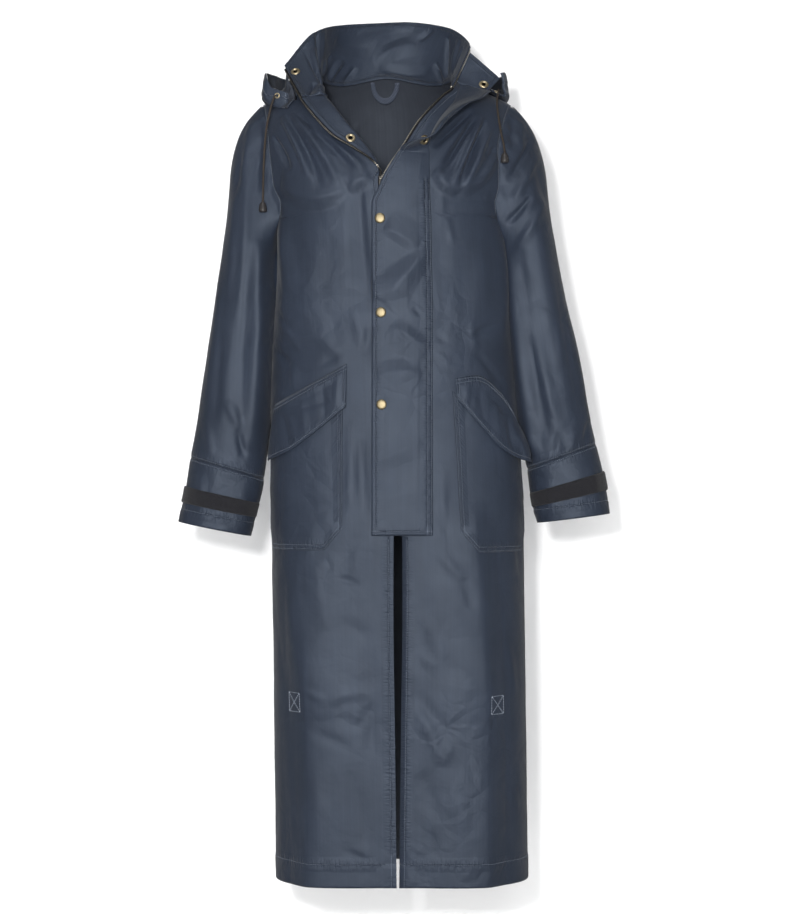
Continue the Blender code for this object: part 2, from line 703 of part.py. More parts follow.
def build_fronts(collection, nylon):
    """Both front panels, the left with its lapel."""
    lapel_row = LEVELS.index(LAPEL_TOP_LEVEL)

    def left(column, row):
        level = LEVELS[row]
        if column < LAPEL_COLUMNS:
            width = read(LAPEL, "width", level)
            return lapel(width * (1 - column / LAPEL_COLUMNS), level)
        return front(LEFT, (column - LAPEL_COLUMNS) / PANEL_COLUMNS, level)

    def right(column, row):
        return front(RIGHT, column / PANEL_COLUMNS, LEVELS[row])

    sheet(
        "front_left",
        LAPEL_COLUMNS + PANEL_COLUMNS,
        len(LEVELS) - 1,
        left,
        collection,
        nylon,
        kept=lambda column, row: column >= LAPEL_COLUMNS or row < lapel_row,
        flip=True,
    )
    sheet("front_right", PANEL_COLUMNS, len(LEVELS) - 1, right, collection, nylon)


def build_back(collection, nylon):
    """The back panel, one piece from armhole to armhole."""
    half_columns = NECK_COLUMNS + SHOULDER_COLUMNS

    def place(column, row):
        side = LEFT if column < half_columns else RIGHT
        return back_point(side, abs(column - half_columns), LEVELS[row])

    sheet(
        "back",
        2 * half_columns,
        len(LEVELS) - 1,
        place,
        collection,
        nylon,
        flip=True,
    )


def build_sleeves(collection, nylon):
    """Sleeves and their cuffs."""
    cap_shares = (0.0, 0.16, 0.36, 0.62, 1.0)
    tube_shares = tuple(CUFF_SHARE * step / 6 for step in range(1, 7))
    cuff_rows = 3
    for side, word in ((LEFT, "left"), (RIGHT, "right")):
        ring = armhole_ring(side)
        turns = [2 * math.pi * share for share in length_shares(ring)]

        def sleeve(column, row):
            turn = turns[column]
            if row >= len(cap_shares):
                return tube_point(side, turn, tube_shares[row - len(cap_shares)])
            first = cap_point(side, ring[column], turn, 0.02)
            away = (first - ring[column]).normalized()
            start = ring[column] + (away + Vector((side, 0, 0))).normalized() * ARMHOLE_SEAM
            return cap_point(side, start, turn, cap_shares[row])

        def cuff(column, row):
            top = CUFF_SHARE + CUFF_SEAM
            return tube_point(side, turns[column], top + (1 - top) * row / cuff_rows)

        columns = len(ring) - 1
        rows = len(cap_shares) + len(tube_shares) - 1
        options = {"closed": True, "flip": side == LEFT}
        sheet("sleeve_" + word, columns, rows, sleeve, collection, nylon, **options)
        sheet("cuff_" + word, columns, cuff_rows, cuff, collection, nylon, **options)


def collar_point(base, shares, column, height):
    """Collar point above one point of the neck seam."""
    top = Vector([read(COLLAR_TOP, axis, shares[column]) for axis in "xyz"])
    before = base[max(column - 1, 0)]
    after = base[min(column + 1, len(base) - 1)]
    along = (after - before).normalized()
    rise = top - base[column]
    away = (rise - along * rise.dot(along)).normalized()
    return (base[column] + away * COLLAR_SEAM).lerp(top, height)


def build_collar(collection, nylon):
    """The stand collar, ruled from the neck seam to its top edge."""
    rows = 4
    base = neck_line()
    shares = length_shares(base)

    def place(column, row):
        return collar_point(base, shares, column, row / rows)

    sheet("collar", len(base) - 1, rows, place, collection, nylon)


def collar_edge(side, height):
    """Point of a front edge of the collar, the way out of it, and its outer normal."""
    base = neck_line()
    shares = length_shares(base)
    column, beside = (0, 1) if side == LEFT else (len(base) - 1, len(base) - 2)
    point = collar_point(base, shares, column, height)
    out = (point - collar_point(base, shares, beside, height)).normalized()
    rise = collar_point(base, shares, column, 1.0) - collar_point(base, shares, column, 0.0)
    normal = (rise.cross(out) * side).normalized()
    return point, out, normal


def build_zip(collection, tape):
    """The two halves of the zip, along the front edges and up the collar's."""
    for side, word in ((LEFT, "left"), (RIGHT, "right")):
        top = LAPEL_TOP_LEVEL if side == LEFT else RIGHT_NECK_LEVEL
        levels = [level for level in LEVELS if ZIP_FOOT_LEVEL <= level <= top]
        heights = (0.2, 0.45, 0.68)

        def place(column, row):
            reach = ZIP_GAP + column * ZIP_HALF_WIDTH
            if row >= len(levels):
                point, out, _ = collar_edge(side, heights[row - len(levels)])
                return point + out * reach
            if side == LEFT:
                start = read(LAPEL, "width", levels[row]) + GAP
                return lapel(start + reach, levels[row])
            edge = body(FRONT, edge_angle(RIGHT, levels[row]), levels[row])
            start = edge_angle(RIGHT, levels[row])
            inner = body(FRONT, start - 0.02, levels[row])
            return edge + (inner - edge).normalized() * reach

        rows = len(levels) + len(heights) - 1
        name = "zip_" + word
        options = {"thickness": ZIP_THICKNESS, "flip": side == RIGHT}
        sheet(name, 1, rows, place, collection, tape, **options)


def flap_point(share, level):
    """Storm flap: share 0 is its seam, share 1 its free edge."""
    attach = read(FLAP, "attach", level)
    across = read(FLAP, "across", level)
    loose = read(FLAP, "loose", level)
    if level > FLAP_NECK_LEVEL:
        height = level - 1.0
        point, out, normal = collar_edge(RIGHT, max(height, 0.05))
        seam = point - out * 0.002 + normal * WING_LIFT
    else:
        angle = angle_of(attach - read(BODY, "lean", level), level)
        seam = over_front(angle, level, LIE)
    free = seam + share * Vector(
        (across, read(FLAP, "forward", level), read(FLAP, "rise", level))
    )
    free.y -= read(FLAP, "bulge", level) * math.sin(math.pi * share)
    if loose == 1.0:
        return free
    x = attach + across * share
    lift = LIE + (FLAP_LIFT - LIE) * min(share * 4, 1.0)
    lying = over_front(angle_of(x - read(BODY, "lean", level), level), level, lift)
    return lying.lerp(free, loose)


def build_flap(collection, nylon):
    """The storm flap over the zip."""

    def place(column, row):
        return flap_point(column / FLAP_COLUMNS, FLAP_LEVELS[row])

    rows = len(FLAP_LEVELS) - 1
    sheet("storm_flap", FLAP_COLUMNS, rows, place, collection, nylon, flip=True)


def build_pockets(collection, nylon):
    """Patch pockets, with their lower corners cut off."""
    for side, word in ((LEFT, "left"), (RIGHT, "right")):
        patch = PATCHES[side]
        lines = [column / PANEL_COLUMNS for column in range(PANEL_COLUMNS)]
        inner_cut = patch.inner + patch.chamfer
        outer_cut = patch.outer - patch.chamfer
        lines = [line for line in lines if inner_cut + 0.02 < line < outer_cut - 0.02]
        shares = [patch.inner, inner_cut, *lines, outer_cut, patch.outer]
        rows = 4

        def level_of(share, row):
            if row < 2:
                return (patch.bottom, patch.side)[row]
            run = (share - patch.inner) / (patch.outer - patch.inner)
            mouth = patch.mouth_inner + (patch.mouth_outer - patch.mouth_inner) * run
            return (ZIP_FOOT_LEVEL, (ZIP_FOOT_LEVEL + mouth) / 2, mouth)[row - 2]

        def place(column, row):
            share = shares[column]
            level = level_of(share, row)
            if row == 0 and column in (0, len(shares) - 1):
                share = (share + (inner_cut if column == 0 else outer_cut)) / 2
                level = (patch.bottom + patch.side) / 2
            start = edge_angle(side, level)
            angle = start + share * (side_angle(side, level) - start)
            run = (share - patch.inner) / (patch.outer - patch.inner)
            lift = LIE + PATCH_BULGE * bump(2 * run - 1) * min(row / 2, 1.0)
            return over_front(angle, level, lift)

        name = "pocket_" + word
        options = {"flip": side == LEFT}
        sheet(name, len(shares) - 1, rows, place, collection, nylon, **options)


def pocket_flap_point(side, share, drop):
    """Pocket flap: drop 0 is its sewn edge, drop 1 its free edge."""
    table = POCKET_FLAPS[side]
    sewn = Vector((read(table, "x_sewn", share), read(table, "z_sewn", share)))
    free = Vector((read(table, "x_free", share), read(table, "z_free", share)))
    at = sewn.lerp(free, drop)
    angle, level = spot(at.x, at.y)
    stand = read(table, "stand", share)
    lift = LIE + (stand - LIE) * math.sin(math.pi / 2 * drop) ** 0.8
    point = over_front(angle, level, lift)
    point.y -= read(table, "forward", share) * min(drop + 0.4, 1.0)
    return point


def build_pocket_flaps(collection, nylon):
    """The slanting flaps over the pockets' mouths."""
    for side, word in ((LEFT, "left"), (RIGHT, "right")):

        def place(column, row):
            share = column / POCKET_FLAP_COLUMNS
            return pocket_flap_point(side, share, row / POCKET_FLAP_ROWS)

        name = "pocket_flap_" + word
        columns = POCKET_FLAP_COLUMNS
        options = {"flip": side == RIGHT}
        sheet(name, columns, POCKET_FLAP_ROWS, place, collection, nylon, **options)


def build_straps(collection, fastener):
    """Cuff straps, round the outer and front side of each cuff."""
    for side, word in ((LEFT, "left"), (RIGHT, "right")):
        strap = STRAPS[side]
        turns = [2 * math.pi * share for share in length_shares(armhole_ring(side))][:-1]
        turns = sorted(turns + [turn - 2 * math.pi for turn in turns])
        first, last = 2 * math.pi * strap.first, 2 * math.pi * strap.last
        turns = [turn for turn in turns if first <= turn <= last]

        def place(column, row):
            share = strap.top + (strap.bottom - strap.top) * row
            lift = tube_normal(side, turns[column], share) * LIE
            return tube_point(side, turns[column], share) + lift

        name = "strap_" + word
        options = {"flip": side == LEFT}
        sheet(name, len(turns) - 1, 1, place, collection, fastener, **options)


def tree_of(*names):
    """Search trees of the finished pieces with these names."""
    graph = bpy.context.evaluated_depsgraph_get()
    return [BVHTree.FromObject(bpy.data.objects[name], graph) for name in names]


def way_off_body(point):
    """How the point must move to lie over the body, or None."""
    angle, level = spot(point.x, point.z)
    if level >= 1.02:
        return None
    level = min(level, 0.99)
    face = FRONT if point.y < 0 else BACK
    normal = outward(face, angle, level)
    sunk = (abs(body(face, angle, level).y) - abs(point.y)) * abs(normal.y)
    return normal * (sunk + HOOD_LIFT) if sunk > -HOOD_LIFT else None


def way_clear(point, trees):
    """How the point must move to be clear of the body and the other pieces, or None."""
    way = way_off_body(point)
    if way:
        return way
    for tree in trees:
        location, normal, _, distance = tree.find_nearest(point, 0.06)
        if location is None:
            continue
        height = (point - location).dot(normal)
        if height < 0 or distance < HOOD_CLEARANCE:
            return location + normal * HOOD_CLEARANCE - point
    return None


def clear_grid(grid, last_row, trees):
    """Moves the grid's points up to a row until they and their cells are clear."""
    moved = [key for key in grid if key[1] <= last_row]
    sides = [
        ((column, row), (column + across, row + down))
        for column, row in moved
        for across, down in ((1, 0), (0, 1), (1, 1))
        if (column + across, row + down) in grid
    ]
    for _ in range(HOOD_PASSES):
        for key in moved:
            way = way_clear(grid[key], trees)
            if way:
                grid[key] += way
        for ends in sides:
            way = way_clear((grid[ends[0]] + grid[ends[1]]) / 2, trees)
            if way:
                for end in ends:
                    grid[end] += way / 2


def hood_section(foot, out, share):
    """The hood's points on one section, from the neck seam to the rim."""
    up = Vector((0, 0, 1))
    start = read(HOOD, "start", share)
    points = [foot + out * start - up * (start * SHOULDER_FALL)]
    for section in HOOD_ROWS:
        reach = start + section.reach * (read(HOOD, "reach", share) - start)
        drop = section.drop * read(HOOD, "drop", share)
        points.append(foot + out * reach - up * drop)
    rim = out * read(HOOD, "rim_out", share) + up * read(HOOD, "rim_up", share)
    points.append(foot + rim)
    return points


def build_hood(collection, nylon):
    """The hood, folded down as an open pouch round the neck."""
    Seam = namedtuple("Seam", "share x y z")
    seam = neck_line()[LAPEL_COLUMNS:]
    table = [Seam(share, *point) for share, point in zip(length_shares(seam), seam)]
    trees = tree_of("collar", "storm_flap", "zip_left")
    grid = {}
    for column in range(HOOD_COLUMNS + 1):
        share = column / HOOD_COLUMNS
        at = HOOD_FIRST + (HOOD_LAST - HOOD_FIRST) * share
        foot = Vector([read(table, axis, at) for axis in "xyz"])
        after = Vector([read(table, axis, at + 0.04) for axis in "xyz"])
        before = Vector([read(table, axis, at - 0.04) for axis in "xyz"])
        out = Vector((before.y - after.y, after.x - before.x, 0)).normalized()
        turn = math.radians(read(HOOD, "turn", share))
        out.rotate(Euler((0, 0, turn if share < 0.5 else -turn)))
        for row, point in enumerate(hood_section(foot, out, share)):
            grid[column, row] = point
    rows = len(HOOD_ROWS) + 1
    clear_grid(grid, rows, trees)

    def place(column, row):
        return grid[column, row]

    sheet("hood", HOOD_COLUMNS, rows, place, collection, nylon)


def build_hanger(collection, tape):
    """The hanger loop inside the nape."""
    columns = 10
    half_span, sag, width = 0.0215, 0.026, 0.0045

    def place(column, row):
        turn = math.pi * column / columns
        scale = 1 - row * width / half_span
        x = -0.0205 - half_span * scale * math.cos(turn)
        z = -0.0125 - sag * scale * math.sin(turn)
        angle, level = spot(x, z)
        point = body(BACK, angle, level)
        normal = outward(BACK, angle, level)
        return point - normal * (CLOTH + HANGER_LIFT + 0.002 * math.sin(turn))

    sheet("hanger_loop", columns, 1, place, collection, tape, flip=True)


def turned(name, profile, spot_at, axis, collection, material):
    """A round piece: its profile spun about the axis and seated."""
    mesh_builder = bmesh.new()
    vertices = [mesh_builder.verts.new((row.radius, 0, row.height)) for row in profile]
    edges = [mesh_builder.edges.new(pair) for pair in zip(vertices, vertices[1:])]
    if profile[0].radius > 0:
        edges.append(mesh_builder.edges.new((vertices[-1], vertices[0])))
    bmesh.ops.spin(
        mesh_builder,
        geom=vertices + edges,
        axis=(0, 0, 1),
        angle=2 * math.pi,
        steps=TURNED_SEGMENTS,
        use_merge=True,
    )
    bmesh.ops.remove_doubles(mesh_builder, verts=mesh_builder.verts, dist=1e-6)
    bmesh.ops.recalc_face_normals(mesh_builder, faces=mesh_builder.faces)
    rotation = Vector((0, 0, 1)).rotation_difference(axis).to_matrix().to_4x4()
    bmesh.ops.transform(mesh_builder, matrix=rotation, verts=mesh_builder.verts)
    bmesh.ops.translate(mesh_builder, vec=spot_at, verts=mesh_builder.verts)
    mesh = bpy.data.meshes.new(name)
    mesh_builder.to_mesh(mesh)
    mesh_builder.free()
    add_object(name, mesh, collection, material)


def build_snaps(collection, brass):
    """Press studs: caps on the storm flap, rings on the lapel, collar and wing."""
    ahead = Vector((0, 1, 0))
    for stud in CAPS + RINGS:
        tree = tree_of(stud.on)[0]
        start = Vector((stud.x, -1, stud.z))
        location, normal, _, _ = tree.ray_cast(start, ahead)
        profile = CAP_PROFILE if stud in CAPS else RING_PROFILE
        seat = location + normal * stud.lift
        turned(stud.name, profile, seat, normal, collection, brass)
        if stud.name in HIDDEN_CAPS:
            seat = location - normal * (CLOTH + stud.lift)
            turned(HIDDEN_CAPS[stud.name], CAP_PROFILE, seat, -normal, collection, brass)


def cord_route(side):
    """A drawcord's run from its eyelet to its toggle, read from a smooth curve."""
    stops = CORD_STOPS[side]
    keys = [stop.share for stop in stops]
    steps = CORD_STEPS[side]
    shares = [keys[-1] * step / steps for step in range(steps + 1)]
    return [Vector([read(stops, axis, share) for axis in "xyz"]) for share in shares]


def build_cords(collection, cord, brass, plastic):
    """The two free ends of the hood's drawcord, with their toggles and eyelets."""
    for side, word in ((LEFT, "left"), (RIGHT, "right")):
        route = cord_route(side)
        curve = bpy.data.curves.new("drawcord_" + word, "CURVE")
        curve.dimensions = "3D"
        curve.bevel_depth = CORD_RADIUS
        curve.bevel_resolution = 2
        curve.use_fill_caps = True
        spline = curve.splines.new("POLY")
        spline.points.add(len(route) - 1)
        for control, point in zip(spline.points, route):
            control.co = (*point, 1)
        add_object("drawcord_" + word, curve, collection, cord)
        seat = route[-1] + Vector((0, 0, -TOGGLE_GAP))
        down = Vector((0, 0, -1))
        turned("toggle_" + word, TOGGLE_PROFILE, seat, down, collection, plastic)
        eyelet = EYELETS[side]
        tree = tree_of("hood")[0]
        start = Vector((eyelet.x, eyelet.y, eyelet.z))
        location, normal, _, _ = tree.find_nearest(start)
        seat = location + normal * EYELET_LIFT
        turned("eyelet_" + word, EYELET_PROFILE, seat, normal, collection, brass)


def build_slider(collection, helpers, metal):
    """The zip's slider: two plates joined by a wedge, with the pull in front."""
    edge = edge_angle(RIGHT, SLIDER_LEVEL)
    aside = Vector((1, 0, 0))
    normal = outward(FRONT, edge, SLIDER_LEVEL)
    up = normal.cross(aside).normalized()
    if up.z < 0:
        up = -up
    reach = ZIP_GAP + ZIP_HALF_WIDTH + SLIDER_SHIFT
    middle = body(FRONT, edge, SLIDER_LEVEL) - aside * reach
    frame = Matrix((aside, -normal, up)).transposed().to_4x4()
    frame.translation = middle
    slider = None
    for block in SLIDER:
        mesh_builder = bmesh.new()
        bmesh.ops.create_cube(mesh_builder, size=1)
        size = (block.width, block.far - block.near, block.top - block.bottom)
        bmesh.ops.scale(mesh_builder, vec=size, verts=mesh_builder.verts)
        centre = (0, (block.far + block.near) / 2, (block.top + block.bottom) / 2)
        bmesh.ops.translate(mesh_builder, vec=centre, verts=mesh_builder.verts)
        bmesh.ops.transform(mesh_builder, matrix=frame, verts=mesh_builder.verts)
        mesh = bpy.data.meshes.new(block.name)
        mesh_builder.to_mesh(mesh)
        mesh_builder.free()
        if slider is None:
            slider = add_object(block.name, mesh, collection, metal)
            continue
        helper = add_object(block.name, mesh, helpers, metal)
        helper.hide_render = True
        helper.display_type = "WIRE"
        union = slider.modifiers.new(block.name, "BOOLEAN")
        union.operation = "UNION"
        union.object = helper


def main():
    clear_scene()
    collection = bpy.data.collections.new(COAT)
    bpy.context.scene.collection.children.link(collection)
    helpers = bpy.data.collections.new("union_helpers")
    helpers.hide_render = True
    bpy.context.scene.collection.children.link(helpers)
    nylon = finish("navy_nylon", (0.045, 0.055, 0.080), 0.45, 0.0)
    fastener = finish("black_hook_and_loop", (0.022, 0.023, 0.026), 0.9, 0.0)
    tape = finish("dark_zip_tape", (0.018, 0.018, 0.020), 0.6, 0.0)
    brass = finish("satin_brass", (0.60, 0.46, 0.24), 0.35, 1.0)
    cord = finish("dark_cord", (0.030, 0.024, 0.020), 0.85, 0.0)
    plastic = finish("dark_plastic", (0.028, 0.026, 0.026), 0.45, 0.0)
    metal = finish("dark_metal", (0.10, 0.095, 0.085), 0.4, 1.0)
    build_fronts(collection, nylon)
    build_back(collection, nylon)
    build_sleeves(collection, nylon)
    build_collar(collection, nylon)
    build_zip(collection, tape)
    build_flap(collection, nylon)
    build_pockets(collection, nylon)
    build_pocket_flaps(collection, nylon)
    build_straps(collection, fastener)
    build_hood(collection, nylon)
    build_hanger(collection, tape)
    build_snaps(collection, brass)
    build_cords(collection, cord, brass, plastic)
    build_slider(collection, helpers, metal)


main()
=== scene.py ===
"""The looks of a hooded riding raincoat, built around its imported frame.

+X is the viewer's right, the front faces -Y and +Z is up, in metres. A level runs
from -1 at the hem over 0 at the underarm to 1 at the shoulder, and an angle from 0 at
the centre line to a quarter turn at the side seam. Every cloth piece is a grid laid on
its form, creased, folded and stitched at its edges, and given a thin wall.
"""

import logging
import math
from dataclasses import dataclass, field
from enum import Enum
from typing import Callable, Sequence

import bmesh
import bpy
import numpy as np
from mathutils import Matrix, Vector
from mathutils.bvhtree import BVHTree


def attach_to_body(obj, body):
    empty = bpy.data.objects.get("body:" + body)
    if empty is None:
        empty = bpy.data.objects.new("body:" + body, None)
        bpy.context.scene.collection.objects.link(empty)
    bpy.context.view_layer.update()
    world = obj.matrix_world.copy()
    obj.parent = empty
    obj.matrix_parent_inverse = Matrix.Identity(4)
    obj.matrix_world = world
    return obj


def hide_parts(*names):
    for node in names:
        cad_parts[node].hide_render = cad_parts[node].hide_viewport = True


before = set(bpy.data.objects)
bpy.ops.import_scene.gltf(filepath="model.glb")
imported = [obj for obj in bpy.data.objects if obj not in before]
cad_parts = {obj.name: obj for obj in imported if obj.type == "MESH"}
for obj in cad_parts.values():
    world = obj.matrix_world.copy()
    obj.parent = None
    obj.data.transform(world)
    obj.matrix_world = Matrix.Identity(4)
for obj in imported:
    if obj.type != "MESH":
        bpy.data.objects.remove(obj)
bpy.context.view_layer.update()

Array = np.ndarray
Socket = bpy.types.NodeSocket
Thing = bpy.types.Object
LOG = logging.getLogger("raincoat")
QUARTER = math.pi / 2
MERGE = 1e-6


class Side(Enum):
    """The viewer's left or right."""

    LEFT = -1
    RIGHT = 1

    @property
    def word(self) -> str:
        """The side in lower-case letters."""
        return self.name.lower()


class Face(Enum):
    """Front or back of the coat."""

    FRONT = -1
    BACK = 1


class Edge(Enum):
    """An edge of a cloth grid."""

    START = "first column"
    END = "last column"
    FOOT = "first row"
    HEAD = "last row"


class SizeTable:
    """Sizes row by row, read smoothly between the rows."""

    def __init__(self, columns: str, *rows: tuple[float, ...]) -> None:
        """Keeps the rows.

        Args:
            columns: names of the columns; the first one is the key.
            rows: one tuple of numbers a row, with rising keys.
        """
        values = np.array(rows, float)
        self.keys = values[:, 0]
        self.columns = {name: values[:, i] for i, name in enumerate(columns.split())}
        self.slopes = {name: self._slopes(column) for name, column in self.columns.items()}

    def _slopes(self, column: Array) -> Array:
        """Slope at each row, level where the values turn back.

        Args:
            column: values of one column.

        Returns:
            One slope a row.
        """
        steps = np.diff(column) / np.diff(self.keys)
        before, after = steps[:-1], steps[1:]
        total = np.where(before + after == 0, 1, before + after)
        inner = np.where(before * after > 0, 2 * before * after / total, 0)
        return np.concatenate([steps[:1], inner, steps[-1:]])

    def read(self, name: str, at: Array | float) -> Array:
        """The column's value at these keys.

        Args:
            name: name of the column.
            at: keys to read at.

        Returns:
            One value for each key.
        """
        at = np.clip(np.asarray(at, float), self.keys[0], self.keys[-1])
        lower = below(self.keys, at)
        step = self.keys[lower + 1] - self.keys[lower]
        share = (at - self.keys[lower]) / step
        return curved(self.columns[name], self.slopes[name], lower, step, share)

    def place(self, at: Array) -> Array:
        """The points of the table's x, y and z columns at these keys."""
        return np.stack([self.read(axis, at) for axis in "xyz"], -1)


def below(keys: Array, at: Array) -> Array:
    """Number of the key at or below each of these, short of the last one."""
    return np.clip(np.searchsorted(keys, at, side="right"), 1, len(keys) - 1) - 1


def curved(values: Array, slopes: Array, lower: Array, step: Array, share: Array) -> Array:
    """A smooth curve through values that has given slopes at them.

    Args:
        values: the values.
        slopes: the slope at each.
        lower: number of the value below each place asked for.
        step: distance from that value to the next one.
        share: share of the step at which the place lies.

    Returns:
        The curve at each place.
    """
    rest = 1 - share
    return (
        values[lower] * rest * rest * (1 + 2 * share)
        + values[lower + 1] * share * share * (3 - 2 * share)
        + slopes[lower] * step * share * rest * rest
        - slopes[lower + 1] * step * share * share * rest
    )


def unit(vectors: Array) -> Array:
    """Vectors of length one along the last axis."""
    length = np.linalg.norm(vectors, axis=-1, keepdims=True)
    return vectors / np.maximum(length, 1e-9)


def bump(offset: Array) -> Array:
    """Soft hump: 1 in the middle, 0 from one half width on."""
    inside = np.clip(1 - offset * offset, 0, None)
    return inside * inside


def folded(offset: Array) -> Array:
    """A fold's section: a slightly rounded crest, straight sides and a soft foot."""
    return np.clip(1.1 - np.sqrt(offset * offset + 0.01), 0, None) ** 1.15


def restless(at: Array) -> Array:
    """An uneven wave between about -1 and 1."""
    wave = np.sin(at) + 0.7 * np.sin(1.73 * at + 1.3) + 0.5 * np.sin(2.91 * at + 0.7)
    return wave / 1.7


def run_lengths(points: Array, axis: int = 0) -> Array:
    """Length run along one axis of a grid of points, from zero."""
    steps = np.linalg.norm(np.diff(points, axis=axis), axis=-1)
    return np.concatenate([np.zeros_like(np.take(steps, [0], axis)), np.cumsum(steps, axis)], axis)


def along_rows(keys: Sequence[float], values: Array, at: Array) -> Array:
    """Rows of points read smoothly in between.

    Args:
        keys: rising key of each row.
        values: one row of points a key, of any shape.
        at: keys to read at.

    Returns:
        One row of points for each key asked for.
    """
    keys = np.asarray(keys, float)
    shape = (-1, *[1] * (values.ndim - 1))
    gaps = np.diff(keys).reshape(shape)
    steps = np.diff(values, axis=0) / gaps
    inner = (steps[:-1] * gaps[1:] + steps[1:] * gaps[:-1]) / (gaps[1:] + gaps[:-1])
    slopes = np.concatenate([steps[:1], inner, steps[-1:]])
    lower = below(keys, at)
    share = (at - keys[lower]).reshape(shape) / gaps[lower]
    return curved(values, slopes, lower, gaps[lower], share)


def along_line(at: Array, lengths: Array, values: Array) -> Array:
    """Points, or normals, of a line at these lengths along it."""
    return np.stack([np.interp(at, lengths, column) for column in values.T], -1)


def posed(place: Sequence[float], *axes: Sequence[float]) -> Matrix:
    """The matrix that carries a small mesh to a place and along three axes.

    Args:
        place: where it goes.
        axes: its three axes, as long as they stretch it.

    Returns:
        The matrix.
    """
    matrix = Matrix(np.column_stack(axes)).to_4x4()
    matrix.translation = place
    return matrix


def placed(name: str, data: bpy.types.ID) -> Thing:
    """A new object in the scene.

    Args:
        name: its name.
        data: its mesh, curve, lamp or camera.

    Returns:
        The object.
    """
    thing = bpy.data.objects.new(name, data)
    bpy.context.scene.collection.objects.link(thing)
    return thing


def meshed(name: str, builder: bmesh.types.BMesh, material: bpy.types.Material) -> Thing:
    """A new object made from a mesh builder, which is freed.

    Args:
        name: its name.
        builder: the mesh builder.
        material: its material.

    Returns:
        The object.
    """
    mesh = bpy.data.meshes.new(name)
    builder.to_mesh(mesh)
    builder.free()
    mesh.materials.append(material)
    return placed(name, mesh)


@dataclass(frozen=True)
class Crease:
    """A soft ridge, or a trough where its height is negative, from one place to another."""

    x_1: float
    z_1: float
    x_2: float
    z_2: float
    height: float
    left: float
    right: float
    bow: float = 0.0
    taper: float = 1.0

    def rise(self, x: Array, z: Array) -> Array:
        """How far it lifts the cloth at these places.

        Args:
            x: places across the cloth.
            z: places along the cloth.

        Returns:
            The lift in metres.
        """
        run = np.array([self.x_2 - self.x_1, self.z_2 - self.z_1])
        length = math.hypot(*run)
        share = ((x - self.x_1) * run[0] + (z - self.z_1) * run[1]) / length**2
        aside = ((z - self.z_1) * run[0] - (x - self.x_1) * run[1]) / length
        aside = aside - self.bow * (1 - (2 * share - 1) ** 2)
        widen = self.taper + (1 - self.taper) * np.clip(share, 0, 1)
        width = np.where(aside > 0, self.left, self.right) * widen
        ends = np.clip(1 - (2 * share - 1) ** 2, 0, None)
        return self.height * folded(aside / width) * ends ** 0.8


def folds(*rows: tuple[float, ...]) -> tuple[Crease, ...]:
    """Creases from rows of their sizes in millimetres, with bow and taper where they have them."""
    return tuple(Crease(*(size / 1000 for size in row[:8]), *row[8:]) for row in rows)


@dataclass(frozen=True)
class Crumple:
    """Faint facets that packing leaves in coated cloth: folded waves in many directions."""

    seed: int
    height: float
    spacing: float
    waves: int = 9
    softness: float = 0.22

    def rise(self, x: Array, z: Array) -> Array:
        """How far it lifts the cloth at these places, in metres.

        Args:
            x: places across the cloth.
            z: places along the cloth.

        Returns:
            The lift.
        """
        draw = np.random.default_rng(self.seed)
        total = np.zeros_like(x)
        for _ in range(self.waves):
            turn = draw.uniform(0, math.pi)
            spacing = self.spacing * draw.uniform(0.7, 1.9)
            bend = draw.uniform(0, 2 * math.pi)
            warp = 0.35 * np.sin((x * math.sin(turn) - z * math.cos(turn)) / spacing + bend)
            phase = (x * math.cos(turn) + z * math.sin(turn)) / spacing + bend + warp
            total += np.sqrt(np.sin(phase * math.pi / 2) ** 2 + self.softness**2) - 0.6
        return self.height * total / math.sqrt(self.waves)


def lifted(creases: Sequence[Crease | Crumple], x: Array, z: Array) -> Array:
    """How far creases and crumples together lift the cloth at these places."""
    return sum(crease.rise(x, z) for crease in creases)


